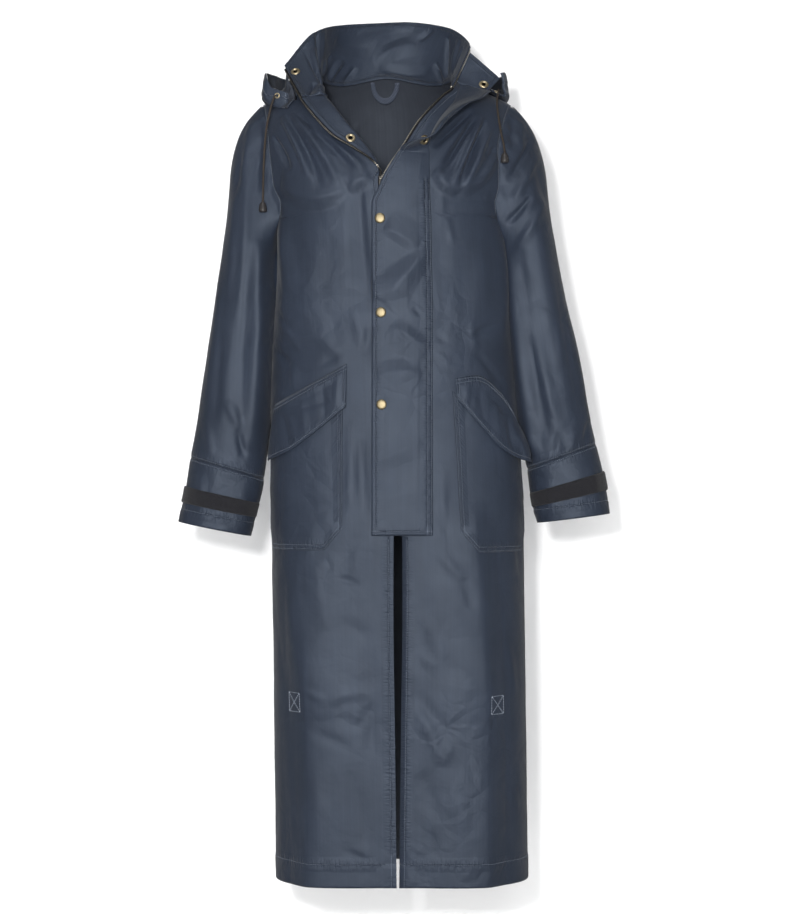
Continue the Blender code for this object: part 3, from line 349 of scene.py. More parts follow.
@dataclass(frozen=True)
class CoatForm:
    """The hollow body of the coat, with its creases."""

    hem_height: float = -1.2
    underarm_height: float = -0.225
    neck_half_width: float = 0.1
    neck_side_height: float = -0.008
    neck_crest: float = 0.044
    shoulder_fall: float = 0.465
    crest_power: float = 2.4
    nape_level: float = 0.845
    nape_curve: float = 1.8
    lapel_top: float = 0.8065
    right_neck: float = 0.9
    neck_share: float = 0.55
    roll_radius: float = 0.0035
    crease_fade: float = 0.035
    sections: SizeTable = SizeTable(
        "level half_width lean front back squareness",
        (-1, 0.188, 0.006, 0.138, 0.136, 2.9), (-0.75, 0.188, 0.003, 0.14, 0.134, 2.9),
        (-0.45, 0.188, -0.001, 0.137, 0.13, 2.8), (-0.2, 0.181, -0.008, 0.131, 0.12, 2.6),
        (-0.08, 0.171, -0.0105, 0.128, 0.118, 2.5), (0, 0.166, -0.0125, 0.126, 0.119, 2.5),
        (0.1, 0.174, -0.0135, 0.125, 0.12, 2.5), (0.28, 0.185, -0.0145, 0.123, 0.12, 2.5),
        (1, 0.19, -0.0165, 0.118, 0.118, 2.5),
    )
    armhole: SizeTable = SizeTable(
        "level left right",
        (0, 1, 1), (0.02, 0.966, 0.96), (0.07, 0.925, 0.91), (0.15, 0.915, 0.895), (0.28, 0.93, 0.893),
        (0.55, 0.945, 0.88), (0.8, 0.957, 0.925), (1, 0.98, 0.98),
    )
    opening: SizeTable = SizeTable(
        "level left right",
        (-1, -0.0048, 0.0018), (-0.8, -0.007, 0.004), (-0.57, -0.0096, 0.0064), (-0.477, -0.0092, 0.006),
        (-0.4, -0.0086, 0.0015), (-0.3, -0.0101, -0.0003), (-0.2, -0.0126, -0.0025), (0, -0.0243, -0.0142),
        (0.193, -0.0318, -0.0205), (0.26, -0.0325, -0.012), (0.39, -0.0505, 0.01), (0.53, -0.073, 0.029),
        (0.72, -0.0985, 0.057), (0.81, -0.109, 0.07), (0.9, -0.113, 0.0825), (1, -0.1165, 0.0835),
    )
    turned_out: SizeTable = SizeTable(
        "level width turn",
        (-1, 0.003, 0), (0.17, 0.003, 0), (0.205, 0.003, 2), (0.225, 0.005, 22), (0.26, 0.01, 92),
        (0.32, 0.014, 145), (0.42, 0.025, 158), (0.54, 0.036, 160), (0.68, 0.04, 157), (0.8065, 0.043, 150),
    )
    front_creases: tuple[Crease, ...] = folds(
        (-185, -100, -158, -156, -8.8, 7, 7, 1, 0.6), (-173, -74, -129, -170, 6.6, 10, 7, 3, 0.6),
        (-166, -69, -110, -188, -5.6, 9, 9, 4, 0.5), (-157, -69, -84, -182, 6.6, 12, 9, 4, 0.5),
        (-148, -71, -67, -159, -5.6, 10, 9, 3, 0.5), (-137, -86, -47, -162, 5.6, 10, 9, 3, 0.6),
        (-172, -173, -73, -185, 9.9, 49, 17, -19), (-73, -188, -38, -167, 6.6, 29, 13, 3),
        (-166, -196, -148, -333, 6.6, 15, 17, -4), (110, -66, 52, -124, -8.8, 7, 9, 0, 0.7),
        (115, -74, 63, -162, -11.1, 7, 9, 0, 0.6), (124, -74, 79, -182, 6.6, 9, 7, 0, 0.6),
        (129, -80, 87, -182, -8.8, 7, 7, 0, 0.6), (137, -92, 93, -188, 6.6, 9, 9, 0, 0.6),
        (147, -115, 108, -176, -5.6, 9, 9, 0, 0.6), (52, -159, 87, -192, 8.8, 32, 13, -3),
        (87, -192, 144, -130, 9.9, 32, 13, -6), (65, -156, 63, -260, 1.5, 9, 9),
        (-54, -168, -36, -365, -5, 8, 30, -4, 0.6), (-39, -384, -49, -429, -4, 10, 7, 0, 0.6),
        (-67, -348, -47, -423, 2, 13, 12), (-174, -359, -156, -390, -2.5, 6, 6),
        (-166, -374, -142, -423, 2, 7, 7), (-183, -412, -154, -441, -3, 7, 7, -3),
        (-154, -438, -151, -481, 3, 10, 7), (-128, -391, -77, -441, 1.8, 13, 12, 3),
        (-110, -348, -84, -413, -1.6, 15, 15, 3), (-142, -275, -128, -391, 1.5, 20, 20, 4),
        (-160, -200, -165, -420, 11, 90, 20, 3), (140, -200, 152, -420, 10, 18, 80, 3),
        (-99, -239, -105, -348, -1.5, 23, 23, 4), (-116, -444, -76, -423, -1.8, 7, 7, 1),
        (142, -224, 148, -391, 3, 20, 15, 3), (105, -377, 113, -423, 2, 7, 7),
        (105, -403, 148, -380, -3.5, 9, 12, 3, 0.5), (113, -423, 157, -481, -3, 9, 12, 3, 0.6),
        (70, -224, 79, -268, 1.8, 6, 6), (95, -275, 93, -391, -1.4, 17, 17),
        (119, -246, 122, -362, 1.4, 15, 15), (52, -391, 70, -413, -1.5, 6, 6),
        (55, -423, 79, -444, 1.5, 6, 6), (-55, -551, -49, -667, -4, 12, 9),
        (-67, -522, -70, -682, 2, 9, 10), (-52, -697, -67, -747, 1.8, 12, 12),
        (67, -595, 63, -697, 2, 7, 7), (52, -638, 76, -704, -2, 7, 7),
        (-160, -650, -126, -960, 11.5, 80, 28, -6), (-129, -830, -126, -1420, 12.5, 85, 28, 1),
        (106, -640, 127, -960, 11.5, 28, 80, 3), (124, -840, 122, -1420, 12, 28, 85, 4),
        (-90, -750, -55, -761, -2, 7, 6), (-121, -726, -99, -842, 1.6, 17, 17),
        (-61, -970, -31, -932, -2.6, 9, 10, 0, 0.6), (-39, -952, -35, -1016, -2.4, 9, 12),
        (-131, -915, -99, -929, 1.6, 9, 12, 0, 0.5), (-99, -929, -38, -915, 1.8, 15, 12, 3),
        (-84, -813, -38, -842, -1.6, 15, 15), (-125, -973, -67, -996, -1.4, 12, 12),
        (-116, -1016, -110, -1147, 1.4, 17, 17), (-70, -1031, -47, -1147, -1.8, 15, 15, 3),
        (-77, -1144, -38, -1165, -2, 7, 7), (-29, -842, -20, -929, 1.6, 10, 10),
        (58, -714, 93, -755, 2.2, 10, 9), (93, -752, 105, -798, -2, 10, 9),
        (19, -929, 64, -1022, 3, 13, 10, 3, 0.7), (64, -1022, 76, -990, 2.4, 10, 10),
        (23, -915, 79, -984, -2, 12, 12), (32, -798, 70, -871, 1.8, 13, 13),
        (70, -842, 84, -929, -1.6, 13, 13), (26, -856, 55, -883, 1.6, 7, 7),
        (32, -1031, 61, -1104, -1.8, 13, 13), (70, -1031, 99, -1118, 1.6, 16, 16),
        (47, -1118, 55, -1156, -1.8, 9, 9), (17, -1133, 38, -1159, 2, 7, 7),
        (160, -842, 172, -929, 2, 7, 7), (156, -1016, 170, -1147, -2, 12, 12),
        (-157, -726, -166, -915, -2, 12, 12), (-160, -958, -154, -1147, 2, 9, 9),
        (176, -704, 182, -755, -2, 6, 6), (80, -1173, 93, -1160, -1.6, 4, 4),
        (93, -1191, 108, -1165, 1.6, 4, 4), (110, -1192, 125, -1166, -1.6, 4, 4),
        (125, -1191, 142, -1163, 1.6, 4, 4), (144, -1188, 157, -1165, -1.4, 4, 4),
    )
    back_creases: tuple[Crease, ...] = folds(
        (-110, -75, -150, -170, 3, 12, 10, 4, 0.6), (-60, -60, -140, -190, -3.5, 10, 10, 6, 0.6),
        (80, -70, 138, -180, 3, 12, 10, -4, 0.6), (50, -80, 130, -200, -3, 10, 10, -6, 0.6),
        (-150, -150, -85, -300, 3.5, 18, 14, 10), (140, -160, 70, -310, 3.5, 14, 18, -10),
        (-100, -200, -75, -480, -4.5, 35, 30), (85, -220, 70, -500, -4.5, 30, 35),
        (-65, -620, -90, -1190, 6, 40, 36), (80, -600, 100, -1190, 6, 36, 40),
        (5, -540, 10, -1150, -5, 34, 34), (-160, -380, -90, -440, -3, 12, 10, 4, 0.6),
        (145, -370, 80, -430, -3, 10, 12, -4, 0.6), (-150, -430, -70, -470, 2.8, 14, 12, 4, 0.7),
        (140, -430, 60, -480, 2.8, 12, 14, -4, 0.7), (-60, -300, 50, -325, -2.4, 14, 12, 4),
        (-40, -350, 60, -340, 2.2, 14, 12, -4), (-140, -560, -40, -620, 2, 16, 12, 6, 0.6),
        (40, -650, 130, -580, -2.2, 12, 16, 6, 0.6), (-130, -720, -20, -790, -1.8, 18, 14, 6),
        (30, -850, 120, -780, 2, 14, 18, 6), (-110, -930, -10, -880, 1.8, 14, 14, -4),
        (20, -1000, 130, -960, -1.8, 16, 14, 4), (-150, -620, -155, -1180, 4.5, 24, 20, 4),
        (150, -620, 158, -1180, 4.5, 20, 24, -4), (-120, -1060, -30, -1110, -1.8, 12, 14, 4),
        (40, -1130, 120, -1080, 1.8, 14, 12, 4),
    )
    crumples: tuple[Crumple, ...] = (
        Crumple(11, 0.001, 0.055, softness=0.12),
        Crumple(23, 0.0003, 0.021, softness=0.2),
    )

    def crest(self, across: Array) -> Array:
        """Height of the shoulder line at a distance from the middle of the body.

        Args:
            across: distances from the middle.

        Returns:
            The heights.
        """
        share = np.abs(across) / self.neck_half_width
        blend = share * share * (3 - 2 * share)
        fall = self.shoulder_fall * self.neck_half_width * share * share * (1 - share)
        inner = self.neck_crest + (self.neck_side_height - self.neck_crest) * blend + fall
        outer = self.neck_side_height - (share - 1) * self.neck_half_width * self.shoulder_fall
        return np.where(share > 1, outer, inner)

    def angle_of(self, across: Array, level: Array) -> Array:
        """Angle at which a section lies a given distance from its middle.

        Args:
            across: distances from the middle.
            level: levels of the points.

        Returns:
            The angles.
        """
        share = np.minimum(np.abs(across) / self.sections.read("half_width", level), 1.0)
        power = self.sections.read("squareness", level) / 2
        return np.sign(across) * np.arcsin(share**power)

    def base(self, face: Face, angle: Array, level: Array) -> tuple[Array, Array]:
        """Places on the uncreased body, and how deep they lie from its middle plane.

        Args:
            face: front or back.
            angle: angles from the centre line.
            level: levels from the hem to the shoulder.

        Returns:
            The points, and the depth of each.
        """
        angle, level = np.broadcast_arrays(np.asarray(angle, float), np.asarray(level, float))
        power = 2 / self.sections.read("squareness", level)
        across = self.sections.read("half_width", level) * np.abs(np.sin(angle)) ** power
        across = across * np.sign(angle)
        out = self.sections.read(face.name.lower(), level)
        out = out * np.maximum(np.cos(angle), 0) ** power
        upper = self.underarm_height + level * (self.crest(across) - self.underarm_height)
        lower = self.underarm_height + level * (self.underarm_height - self.hem_height)
        rounded = 1 - np.clip(level, 0, 1) ** self.crest_power
        out = np.where(level > 0, out * np.sqrt(rounded), out)
        height = np.where(level > 0, upper, lower)
        x = self.sections.read("lean", level) + across
        return np.stack([x, face.value * out, height], -1), out

    def outward(self, face: Face, angle: Array, level: Array) -> Array:
        """Unit normals of the uncreased body.

        Args:
            face: front or back.
            angle: angles from the centre line.
            level: levels of the points.

        Returns:
            The normals.
        """
        turn, rise = 0.01, 0.004
        around = self.base(face, angle + turn, level)[0] - self.base(face, angle - turn, level)[0]
        higher = self.base(face, angle, np.minimum(level + rise, 1.0))[0]
        up = higher - self.base(face, angle, level - rise)[0]
        return unit(np.cross(around, up) * -face.value)

    def creased(self, face: Face, x: Array, z: Array) -> Array:
        """How far the creases lift the cloth at these places."""
        creases = self.front_creases if face is Face.FRONT else self.back_creases
        return lifted(creases + self.crumples, x, z)

    def skin(self, face: Face, angle: Array, level: Array, lift: Array | float = 0.0) -> Array:
        """Places on the creased body, or that far off it.

        Args:
            face: front or back.
            angle: angles from the centre line.
            level: levels from the hem to the shoulder.
            lift: distance off the cloth.

        Returns:
            The points.
        """
        points, out = self.base(face, angle, level)
        rise = self.creased(face, points[..., 0], points[..., 2])
        rise = rise * np.minimum(out / self.crease_fade, 1.0)
        return points + self.outward(face, angle, level) * (rise + lift)[..., None]

    def spot(self, x: Array, z: Array) -> tuple[Array, Array]:
        """Angle and level of the body's section at these places.

        Args:
            x: places across the cloth.
            z: places along the cloth.

        Returns:
            The angles and the levels.
        """
        level = np.zeros_like(x)
        for _ in range(6):
            across = x - self.sections.read("lean", level)
            upper = (z - self.underarm_height) / (self.crest(across) - self.underarm_height)
            lower = (z - self.underarm_height) / (self.underarm_height - self.hem_height)
            level = np.where(z > self.underarm_height, upper, lower)
        return self.angle_of(across, level), level

    def neck_top(self, side: Side) -> float:
        """Level of a front panel's upper edge."""
        return self.lapel_top if side is Side.LEFT else self.right_neck

    def side_angle(self, side: Side, level: Array) -> Array:
        """Angle at which a panel ends, at the side seam or the armhole.

        Args:
            side: the viewer's left or right.
            level: levels of the points.

        Returns:
            The angles.
        """
        cut = self.armhole.read(side.word, level)
        power = self.sections.read("squareness", level) / 2
        return side.value * np.where(level <= 0, QUARTER, np.arcsin(np.clip(cut**power, 0, 1)))

    def edge_angle(self, side: Side, level: Array) -> Array:
        """Angle of a front panel's fold line or cut edge."""
        across = self.opening.read(side.word, level) - self.sections.read("lean", level)
        return self.angle_of(across, level)

    def front(self, side: Side, share: Array, level: Array, lift: float = 0.0) -> Array:
        """Front panel: share 0 is its edge or fold line, share 1 its side seam.

        Args:
            side: the viewer's left or right.
            share: share of the way across.
            level: levels of the points.
            lift: distance off the cloth.

        Returns:
            The points.
        """
        start = self.edge_angle(side, level)
        angle = start + share * (self.side_angle(side, level) - start)
        return self.skin(Face.FRONT, angle, level, lift)

    def lapel(self, reach: Array, level: Array) -> Array:
        """Left front past its fold line, rolled outwards by the lapel's turn.

        Args:
            reach: distance past the fold line.
            level: levels of the points.

        Returns:
            The points.
        """
        start = self.edge_angle(Side.LEFT, level)
        rise = 0.01
        above = self.base(Face.FRONT, self.edge_angle(Side.LEFT, level + rise), level + rise)[0]
        below = self.base(Face.FRONT, self.edge_angle(Side.LEFT, level - rise), level - rise)[0]
        along = unit(above - below)
        normal = self.outward(Face.FRONT, start, level)
        inward = unit(np.cross(along, normal))
        normal = np.cross(inward, along)
        turn = np.radians(self.turned_out.read("turn", level))
        rolled = np.minimum(reach, turn * self.roll_radius)
        bend = (rolled / self.roll_radius)[..., None]
        rest = (reach - rolled)[..., None]
        return (
            self.skin(Face.FRONT, start, level)
            + inward * (self.roll_radius * np.sin(bend))
            + normal * (self.roll_radius * (1 - np.cos(bend)))
            + (inward * np.cos(bend) + normal * np.sin(bend)) * rest
        )

    def back(self, share: Array, level: Array) -> Array:
        """Back panel: share runs from -1 at the left side seam to 1 at the right one.

        Args:
            share: share of the way across.
            level: levels of the points.

        Returns:
            The points.
        """
        neck_angle = self.angle_of(np.array(self.neck_half_width), np.array(1.0))
        part = np.minimum(np.abs(share) / self.neck_share, 1.0)
        rest = np.clip((np.abs(share) - self.neck_share) / (1 - self.neck_share), 0, 1)
        left, right = self.side_angle(Side.LEFT, level), self.side_angle(Side.RIGHT, level)
        side = np.where(share < 0, -left, right)
        angle = neck_angle * part + (side - neck_angle) * rest
        nape = self.nape_level + (1 - self.nape_level) * part**self.nape_curve
        level = np.where(level > 0, level * nape, level)
        return self.skin(Face.BACK, np.sign(share) * angle, level)

    def neck_line(self) -> Array:
        """The neck seam, from the zip edge of the lapel round the nape to the right edge.

        Returns:
            Its points.
        """
        width = self.turned_out.read("width", self.lapel_top)
        strip = np.linspace(1, 0, 16)[:-1]
        pieces = [self.lapel(width * strip, np.full_like(strip, self.lapel_top))]
        shape = 1 - np.linspace(1, 0, 24) ** 1.8
        rise = self.lapel_top + (1 - self.lapel_top) * shape
        pieces.append(self.front(Side.LEFT, np.zeros_like(rise), rise))
        shares = np.linspace(-self.neck_share, self.neck_share, 61)[1:-1]
        pieces.append(self.back(shares, np.ones_like(shares)))
        rise = (self.right_neck + (1 - self.right_neck) * shape)[::-1]
        pieces.append(self.front(Side.RIGHT, np.zeros_like(rise), rise))
        return np.concatenate(pieces)


@dataclass(frozen=True)
class EdgeWork:
    """How one edge of a cloth piece is folded, rolled and stitched; sizes in metres."""

    edge: Edge
    seams: tuple[float, ...] = ()
    hem: float = 0.0
    hem_rise: float = 0.0008
    groove: float = 0.0007
    groove_width: float = 0.003
    pucker: float = 0.0
    spacing: float = 0.004
    reach: float = 0.012
    slant: float = 0.5
    roll: float = 0.0
    roll_reach: float = 0.0045
    begin: float = 0.0
    stop: float = 1.0

    def rise(self, inside: Array, along: Array) -> Array:
        """How far it lifts the cloth.

        Args:
            inside: distance from the edge.
            along: distance along the edge.

        Returns:
            The lift in metres.
        """
        total = np.zeros_like(inside)
        if self.roll:
            total -= self.roll * np.clip(1 - inside / self.roll_reach, 0, 1) ** 2
        if self.hem:
            step = np.clip((self.hem + 0.0012 - inside) / 0.0024, 0, 1)
            total += self.hem_rise * step * step * (3 - 2 * step)
        for seam in self.seams:
            total -= self.groove * bump((inside - seam) / self.groove_width)
        if self.pucker:
            middle = self.seams[-1] if self.seams else 0.0
            phase = (along + self.slant * np.abs(inside - middle)) / (3.4 * self.spacing)
            fade = np.exp(-(((inside - middle) / self.reach) ** 2))
            patch = 0.55 + 0.45 * restless(along / 0.07 + 2.0)
            total += 0.5 * self.pucker * restless(phase) * fade * patch
        return total


@dataclass
class ClothPiece:
    """A cut piece of cloth: a grid on its form, creased, edged and given a wall.

    Each kind of piece gives its cut and its place, and where it has them its relief and
    the cells it keeps. Those take the columns and rows of grid points, and give a value
    or point for each.
    """

    name: str = ""
    nodes: tuple[str, ...] = ()
    slot: str = "navy_nylon"
    columns: int = 10
    rows: int = 10
    wall: float = 0.0009
    outward: int = 1
    closed: bool = False
    flat: tuple[float, float] = (0.1, 0.1)
    area: float | None = None
    held: str = "hung"
    rests_on: tuple[str, ...] = ()
    edges: tuple[EdgeWork, ...] = ()
    form: CoatForm = field(default_factory=CoatForm)
    side: Side = Side.RIGHT
    levels: Array = field(default=None, repr=False)
    points: Array = field(default=None, repr=False)
    normals: Array = field(default=None, repr=False)

    def cut(
        self, node: str, columns: int, rows: int, outward: int,
        flat: tuple[float, float], area: float | None = None, kind: str = "cloth",
    ) -> None:
        """Names the piece and sets its grid and its flat cut.

        Args:
            node: the CAD node it stands for.
            columns: cells across it.
            rows: cells along it.
            outward: 1 or -1, the side of the grid that faces out.
            flat: length and width of its flat cut.
            area: area of the flat cut, where that isn't a rectangle's.
            kind: what it is made of, as the end of its name.
        """
        self.name, self.nodes = f"{node}_{kind}", (node,)
        self.columns, self.rows, self.outward = columns, rows, outward
        self.flat, self.area = flat, area

    def level_of(self, row: Array) -> Array:
        """The form's level at these rows."""
        return np.interp(row, np.arange(self.rows + 1), self.levels)

    def place(self, column: Array, row: Array) -> Array:
        """Form of the piece at these columns and rows."""
        raise NotImplementedError

    def relief(self, column: Array, row: Array) -> Array:
        """Lift of the piece's own creases at these columns and rows."""
        return np.zeros_like(column)

    def kept(self, column: Array, row: Array) -> Array:
        """Which cells of the grid belong to the piece."""
        return np.ones_like(column, bool)

    def facing(self, points: Array) -> Array:
        """Unit normals of a grid of points.

        Args:
            points: the points.

        Returns:
            The normals.
        """
        up = np.gradient(points, axis=0)
        around = np.gradient(points, axis=1)
        if self.closed:
            around[:, 0] = around[:, -1] = points[:, 1] - points[:, -2]
        return unit(np.cross(around, up)) * self.outward

    def edge_distances(self, work: EdgeWork, across: Array, along: Array) -> tuple[Array, Array]:
        """Distance of every grid point from an edge, and along it.

        Args:
            work: the edge's work.
            across: length run across the grid.
            along: length run along it.

        Returns:
            Both distances.
        """
        if work.edge is Edge.START:
            return across, along
        if work.edge is Edge.END:
            return across[:, -1:] - across, along
        if work.edge is Edge.FOOT:
            return along, across
        return along[-1:] - along, across

    def shape(self) -> None:
        """Works out the points and normals of the grid."""
        column, row = np.meshgrid(np.arange(self.columns + 1.0), np.arange(self.rows + 1.0))
        points = self.place(column, row)
        across, along = run_lengths(points, 1), run_lengths(points, 0)
        rise = self.relief(column, row)
        for work in self.edges:
            inside, run = self.edge_distances(work, across, along)
            share = run / np.maximum(run.max(), 1e-9)
            within = (share >= work.begin) & (share <= work.stop)
            rise = rise + np.where(within, work.rise(inside, run), 0)
        points = points + self.facing(points) * rise[..., None]
        if self.closed:
            points[:, -1] = points[:, 0]
        self.points, self.normals = points, self.facing(points)

    def at(self, column: Array, row: Array) -> tuple[Array, Array]:
        """Points and normals of the finished surface at fractional columns and rows.

        Args:
            column: columns of the grid's points.
            row: rows of the grid's points.

        Returns:
            The points and the normals.
        """
        column = np.clip(column, 0, self.columns - 1e-6)
        row = np.clip(row, 0, self.rows - 1e-6)
        left, low = column.astype(int), row.astype(int)
        u, v = (column - left)[..., None], (row - low)[..., None]
        found = []
        for grid in (self.points, self.normals):
            lower = grid[low, left] * (1 - u) + grid[low, left + 1] * u
            upper = grid[low + 1, left] * (1 - u) + grid[low + 1, left + 1] * u
            found.append(lower * (1 - v) + upper * v)
        return found[0], unit(found[1])

    def seam_map(self) -> Array:
        """Run along the nearest seam, distance from it, half the gap of a pair, and pucker.

        Returns:
            Four values for each point.
        """
        across, along = run_lengths(self.points, 1), run_lengths(self.points, 0)
        found = np.zeros((*across.shape, 4))
        found[..., 1] = 0.3
        chosen = np.zeros(across.shape, int)
        for number, work in enumerate((work for work in self.edges if work.seams), 1):
            inside, run = self.edge_distances(work, across, along)
            share = run / np.maximum(run.max(), 1e-9)
            offset = inside - (work.seams[0] + work.seams[-1]) / 2
            gap = (work.seams[-1] - work.seams[0]) / 2
            within = (share >= work.begin) & (share <= work.stop)
            nearer = within & (np.abs(offset) < np.abs(found[..., 1]))
            width, pucker = np.full_like(run, gap), np.full_like(run, work.pucker)
            made = np.stack([run, offset, width, pucker], -1)
            found = np.where(nearer[..., None], made, found)
            chosen = np.where(nearer, number, chosen)
        near = np.pad(chosen, 1, mode="edge")
        change = (near[2:, 1:-1] != near[:-2, 1:-1]) | (near[1:-1, 2:] != near[1:-1, :-2])
        found[..., 1] *= np.where(change & (np.abs(found[..., 1]) > 0.0012), 100, 1)
        return found

    def beside(self, edge: Edge, inset: float, begin: float, stop: float) -> tuple[Array, Array]:
        """A line on the finished surface at a distance from one edge.

        Args:
            edge: the edge it follows.
            inset: distance from that edge.
            begin: share of the edge where it begins.
            stop: share of the edge where it stops.

        Returns:
            Its points and normals.
        """
        lines = self.points if edge in (Edge.START, Edge.END) else self.points.swapaxes(0, 1)
        if edge in (Edge.END, Edge.HEAD):
            lines = lines[:, ::-1]
        count = len(lines)
        places = np.arange(int(begin * (count - 1)), int(round(stop * (count - 1))) + 1)
        lengths = run_lengths(lines, 1)
        index = np.arange(lines.shape[1], dtype=float)
        deep = np.array([np.interp(inset, lengths[i], index) for i in places])
        if edge in (Edge.END, Edge.HEAD):
            deep = lines.shape[1] - 1 - deep
        if edge in (Edge.START, Edge.END):
            return self.at(deep, places.astype(float))
        return self.at(places.astype(float), deep)

    def build(self, cloth: "Finish", inside: "Finish | None" = None) -> Thing:
        """Makes the piece's object.

        Args:
            cloth: finish of the outer face.
            inside: finish of the inner face, if it is another.

        Returns:
            The object, riding on the coat.
        """
        self.shape()
        across, along = run_lengths(self.points, 1), run_lengths(self.points, 0)
        builder = bmesh.new()
        bmesh.ops.create_grid(builder, x_segments=self.columns, y_segments=self.rows, size=1)
        spots = {}
        for vertex in builder.verts:
            column = round((vertex.co.x + 1) / 2 * self.columns)
            row = round((vertex.co.y + 1) / 2 * self.rows)
            spots[vertex.index] = (row, column)
            vertex.co = self.points[row, column]
        maps = ("threads", "seams", "gaps")
        threads, seams, gaps = (builder.loops.layers.uv.new(name) for name in maps)
        seam_map = self.seam_map()
        dropped = []
        columns, rows = np.meshgrid(np.arange(self.columns), np.arange(self.rows))
        kept = self.kept(columns, rows)
        for cell in builder.faces:
            corners = [spots[vertex.index] for vertex in cell.verts]
            if not kept[min(row for row, _ in corners), min(column for _, column in corners)]:
                dropped.append(cell)
            for loop in cell.loops:
                spot = spots[loop.vert.index]
                loop[threads].uv = (across[spot], along[spot])
                loop[seams].uv = seam_map[spot][:2]
                loop[gaps].uv = seam_map[spot][2:]
            cell.smooth = True
        bmesh.ops.delete(builder, geom=dropped, context="FACES")
        if self.closed:
            bmesh.ops.remove_doubles(builder, verts=builder.verts, dist=MERGE)
        if self.outward < 0:
            bmesh.ops.reverse_faces(builder, faces=builder.faces)
        thing = meshed(self.name, builder, cloth.material())
        wall = thing.modifiers.new("wall", "SOLIDIFY")
        wall.thickness, wall.offset = self.wall, -1
        if inside:
            thing.data.materials.append(inside.material())
            wall.material_offset = 1
        self.declare(thing)
        return thing

    def declare(self, thing: Thing) -> None:
        """Says what the piece rides on and replaces.

        Args:
            thing: the piece's object.
        """
        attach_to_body(thing, "root")
        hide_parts(*self.nodes)
        list(self.rests_on)


@dataclass
class StitchWork:
    """Rows of stitches, each a small rounded bead of thread lying on the cloth."""

    name: str
    pitch: float = 0.0034
    length: float = 0.0025
    width: float = 0.00062
    height: float = 0.00045
    lift: float = 0.0001
    beads: list[Matrix] = field(default_factory=list)

    def run(self, points: Array, normals: Array) -> None:
        """Adds a row of stitches along a line.

        Args:
            points: the line's points.
            normals: the cloth's normals there.
        """
        lengths = run_lengths(points)
        count = int(lengths[-1] / self.pitch)
        if count < 1:
            return
        middles = (np.arange(count) + 0.5) * lengths[-1] / count
        half = self.length / 2
        start, middle, end = (along_line(middles + move, lengths, points) for move in (-half, 0, half))
        facing = along_line(middles, lengths, normals)
        tangent = unit(end - start)
        facing = unit(facing - tangent * (facing * tangent).sum(-1, keepdims=True))
        aside = np.cross(facing, tangent)
        seat = middle + facing * self.lift
        for where, along, side, up in zip(seat, tangent, aside, facing):
            self.beads.append(posed(where, along * half, side * self.width / 2, up * self.height))

    def sew(self, piece: ClothPiece) -> None:
        """Stitches every seam of a piece's edges.

        Args:
            piece: the piece.
        """
        for work in piece.edges:
            for seam in work.seams:
                self.run(*piece.beside(work.edge, seam, work.begin, work.stop))

    def build(self, finish: "Finish", slot: str = "navy_nylon") -> Thing:
        """Makes the stitches' object and returns it.

        Args:
            finish: its finish.
            slot: the record's material slot.

        Returns:
            The object.
        """
        one = bmesh.new()
        bmesh.ops.create_uvsphere(one, u_segments=6, v_segments=4, radius=1)
        return finished_object(self.name, repeated(one, self.beads), finish, slot)


def repeated(one: bmesh.types.BMesh, places: Sequence[Matrix]) -> bmesh.types.BMesh:
    """A mesh with a small mesh at each of many places; the small one is freed.

    Args:
        one: the small mesh.
        places: a matrix for each copy.

    Returns:
        The builder of the whole mesh.
    """
    small = bpy.data.meshes.new("small")
    one.to_mesh(small)
    one.free()
    builder = bmesh.new()
    for place in places:
        small.transform(place)
        builder.from_mesh(small)
        small.transform(place.inverted())
    bpy.data.meshes.remove(small)
    return builder


def finished_object(
    name: str, builder: bmesh.types.BMesh, finish: "Finish", slot: str, nodes: Sequence[str] = ()
) -> Thing:
    """Turns a mesh builder into an object that rides on the coat.

    Args:
        name: name of the object.
        builder: the mesh, which is freed.
        finish: its finish.
        slot: the record's material slot; not used.
        nodes: the CAD nodes it stands for.

    Returns:
        The object.
    """
    for facet in builder.faces:
        facet.smooth = True
    thing = meshed(name, builder, finish.material())
    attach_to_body(thing, "root")
    if nodes:
        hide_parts(*nodes)
    return thing


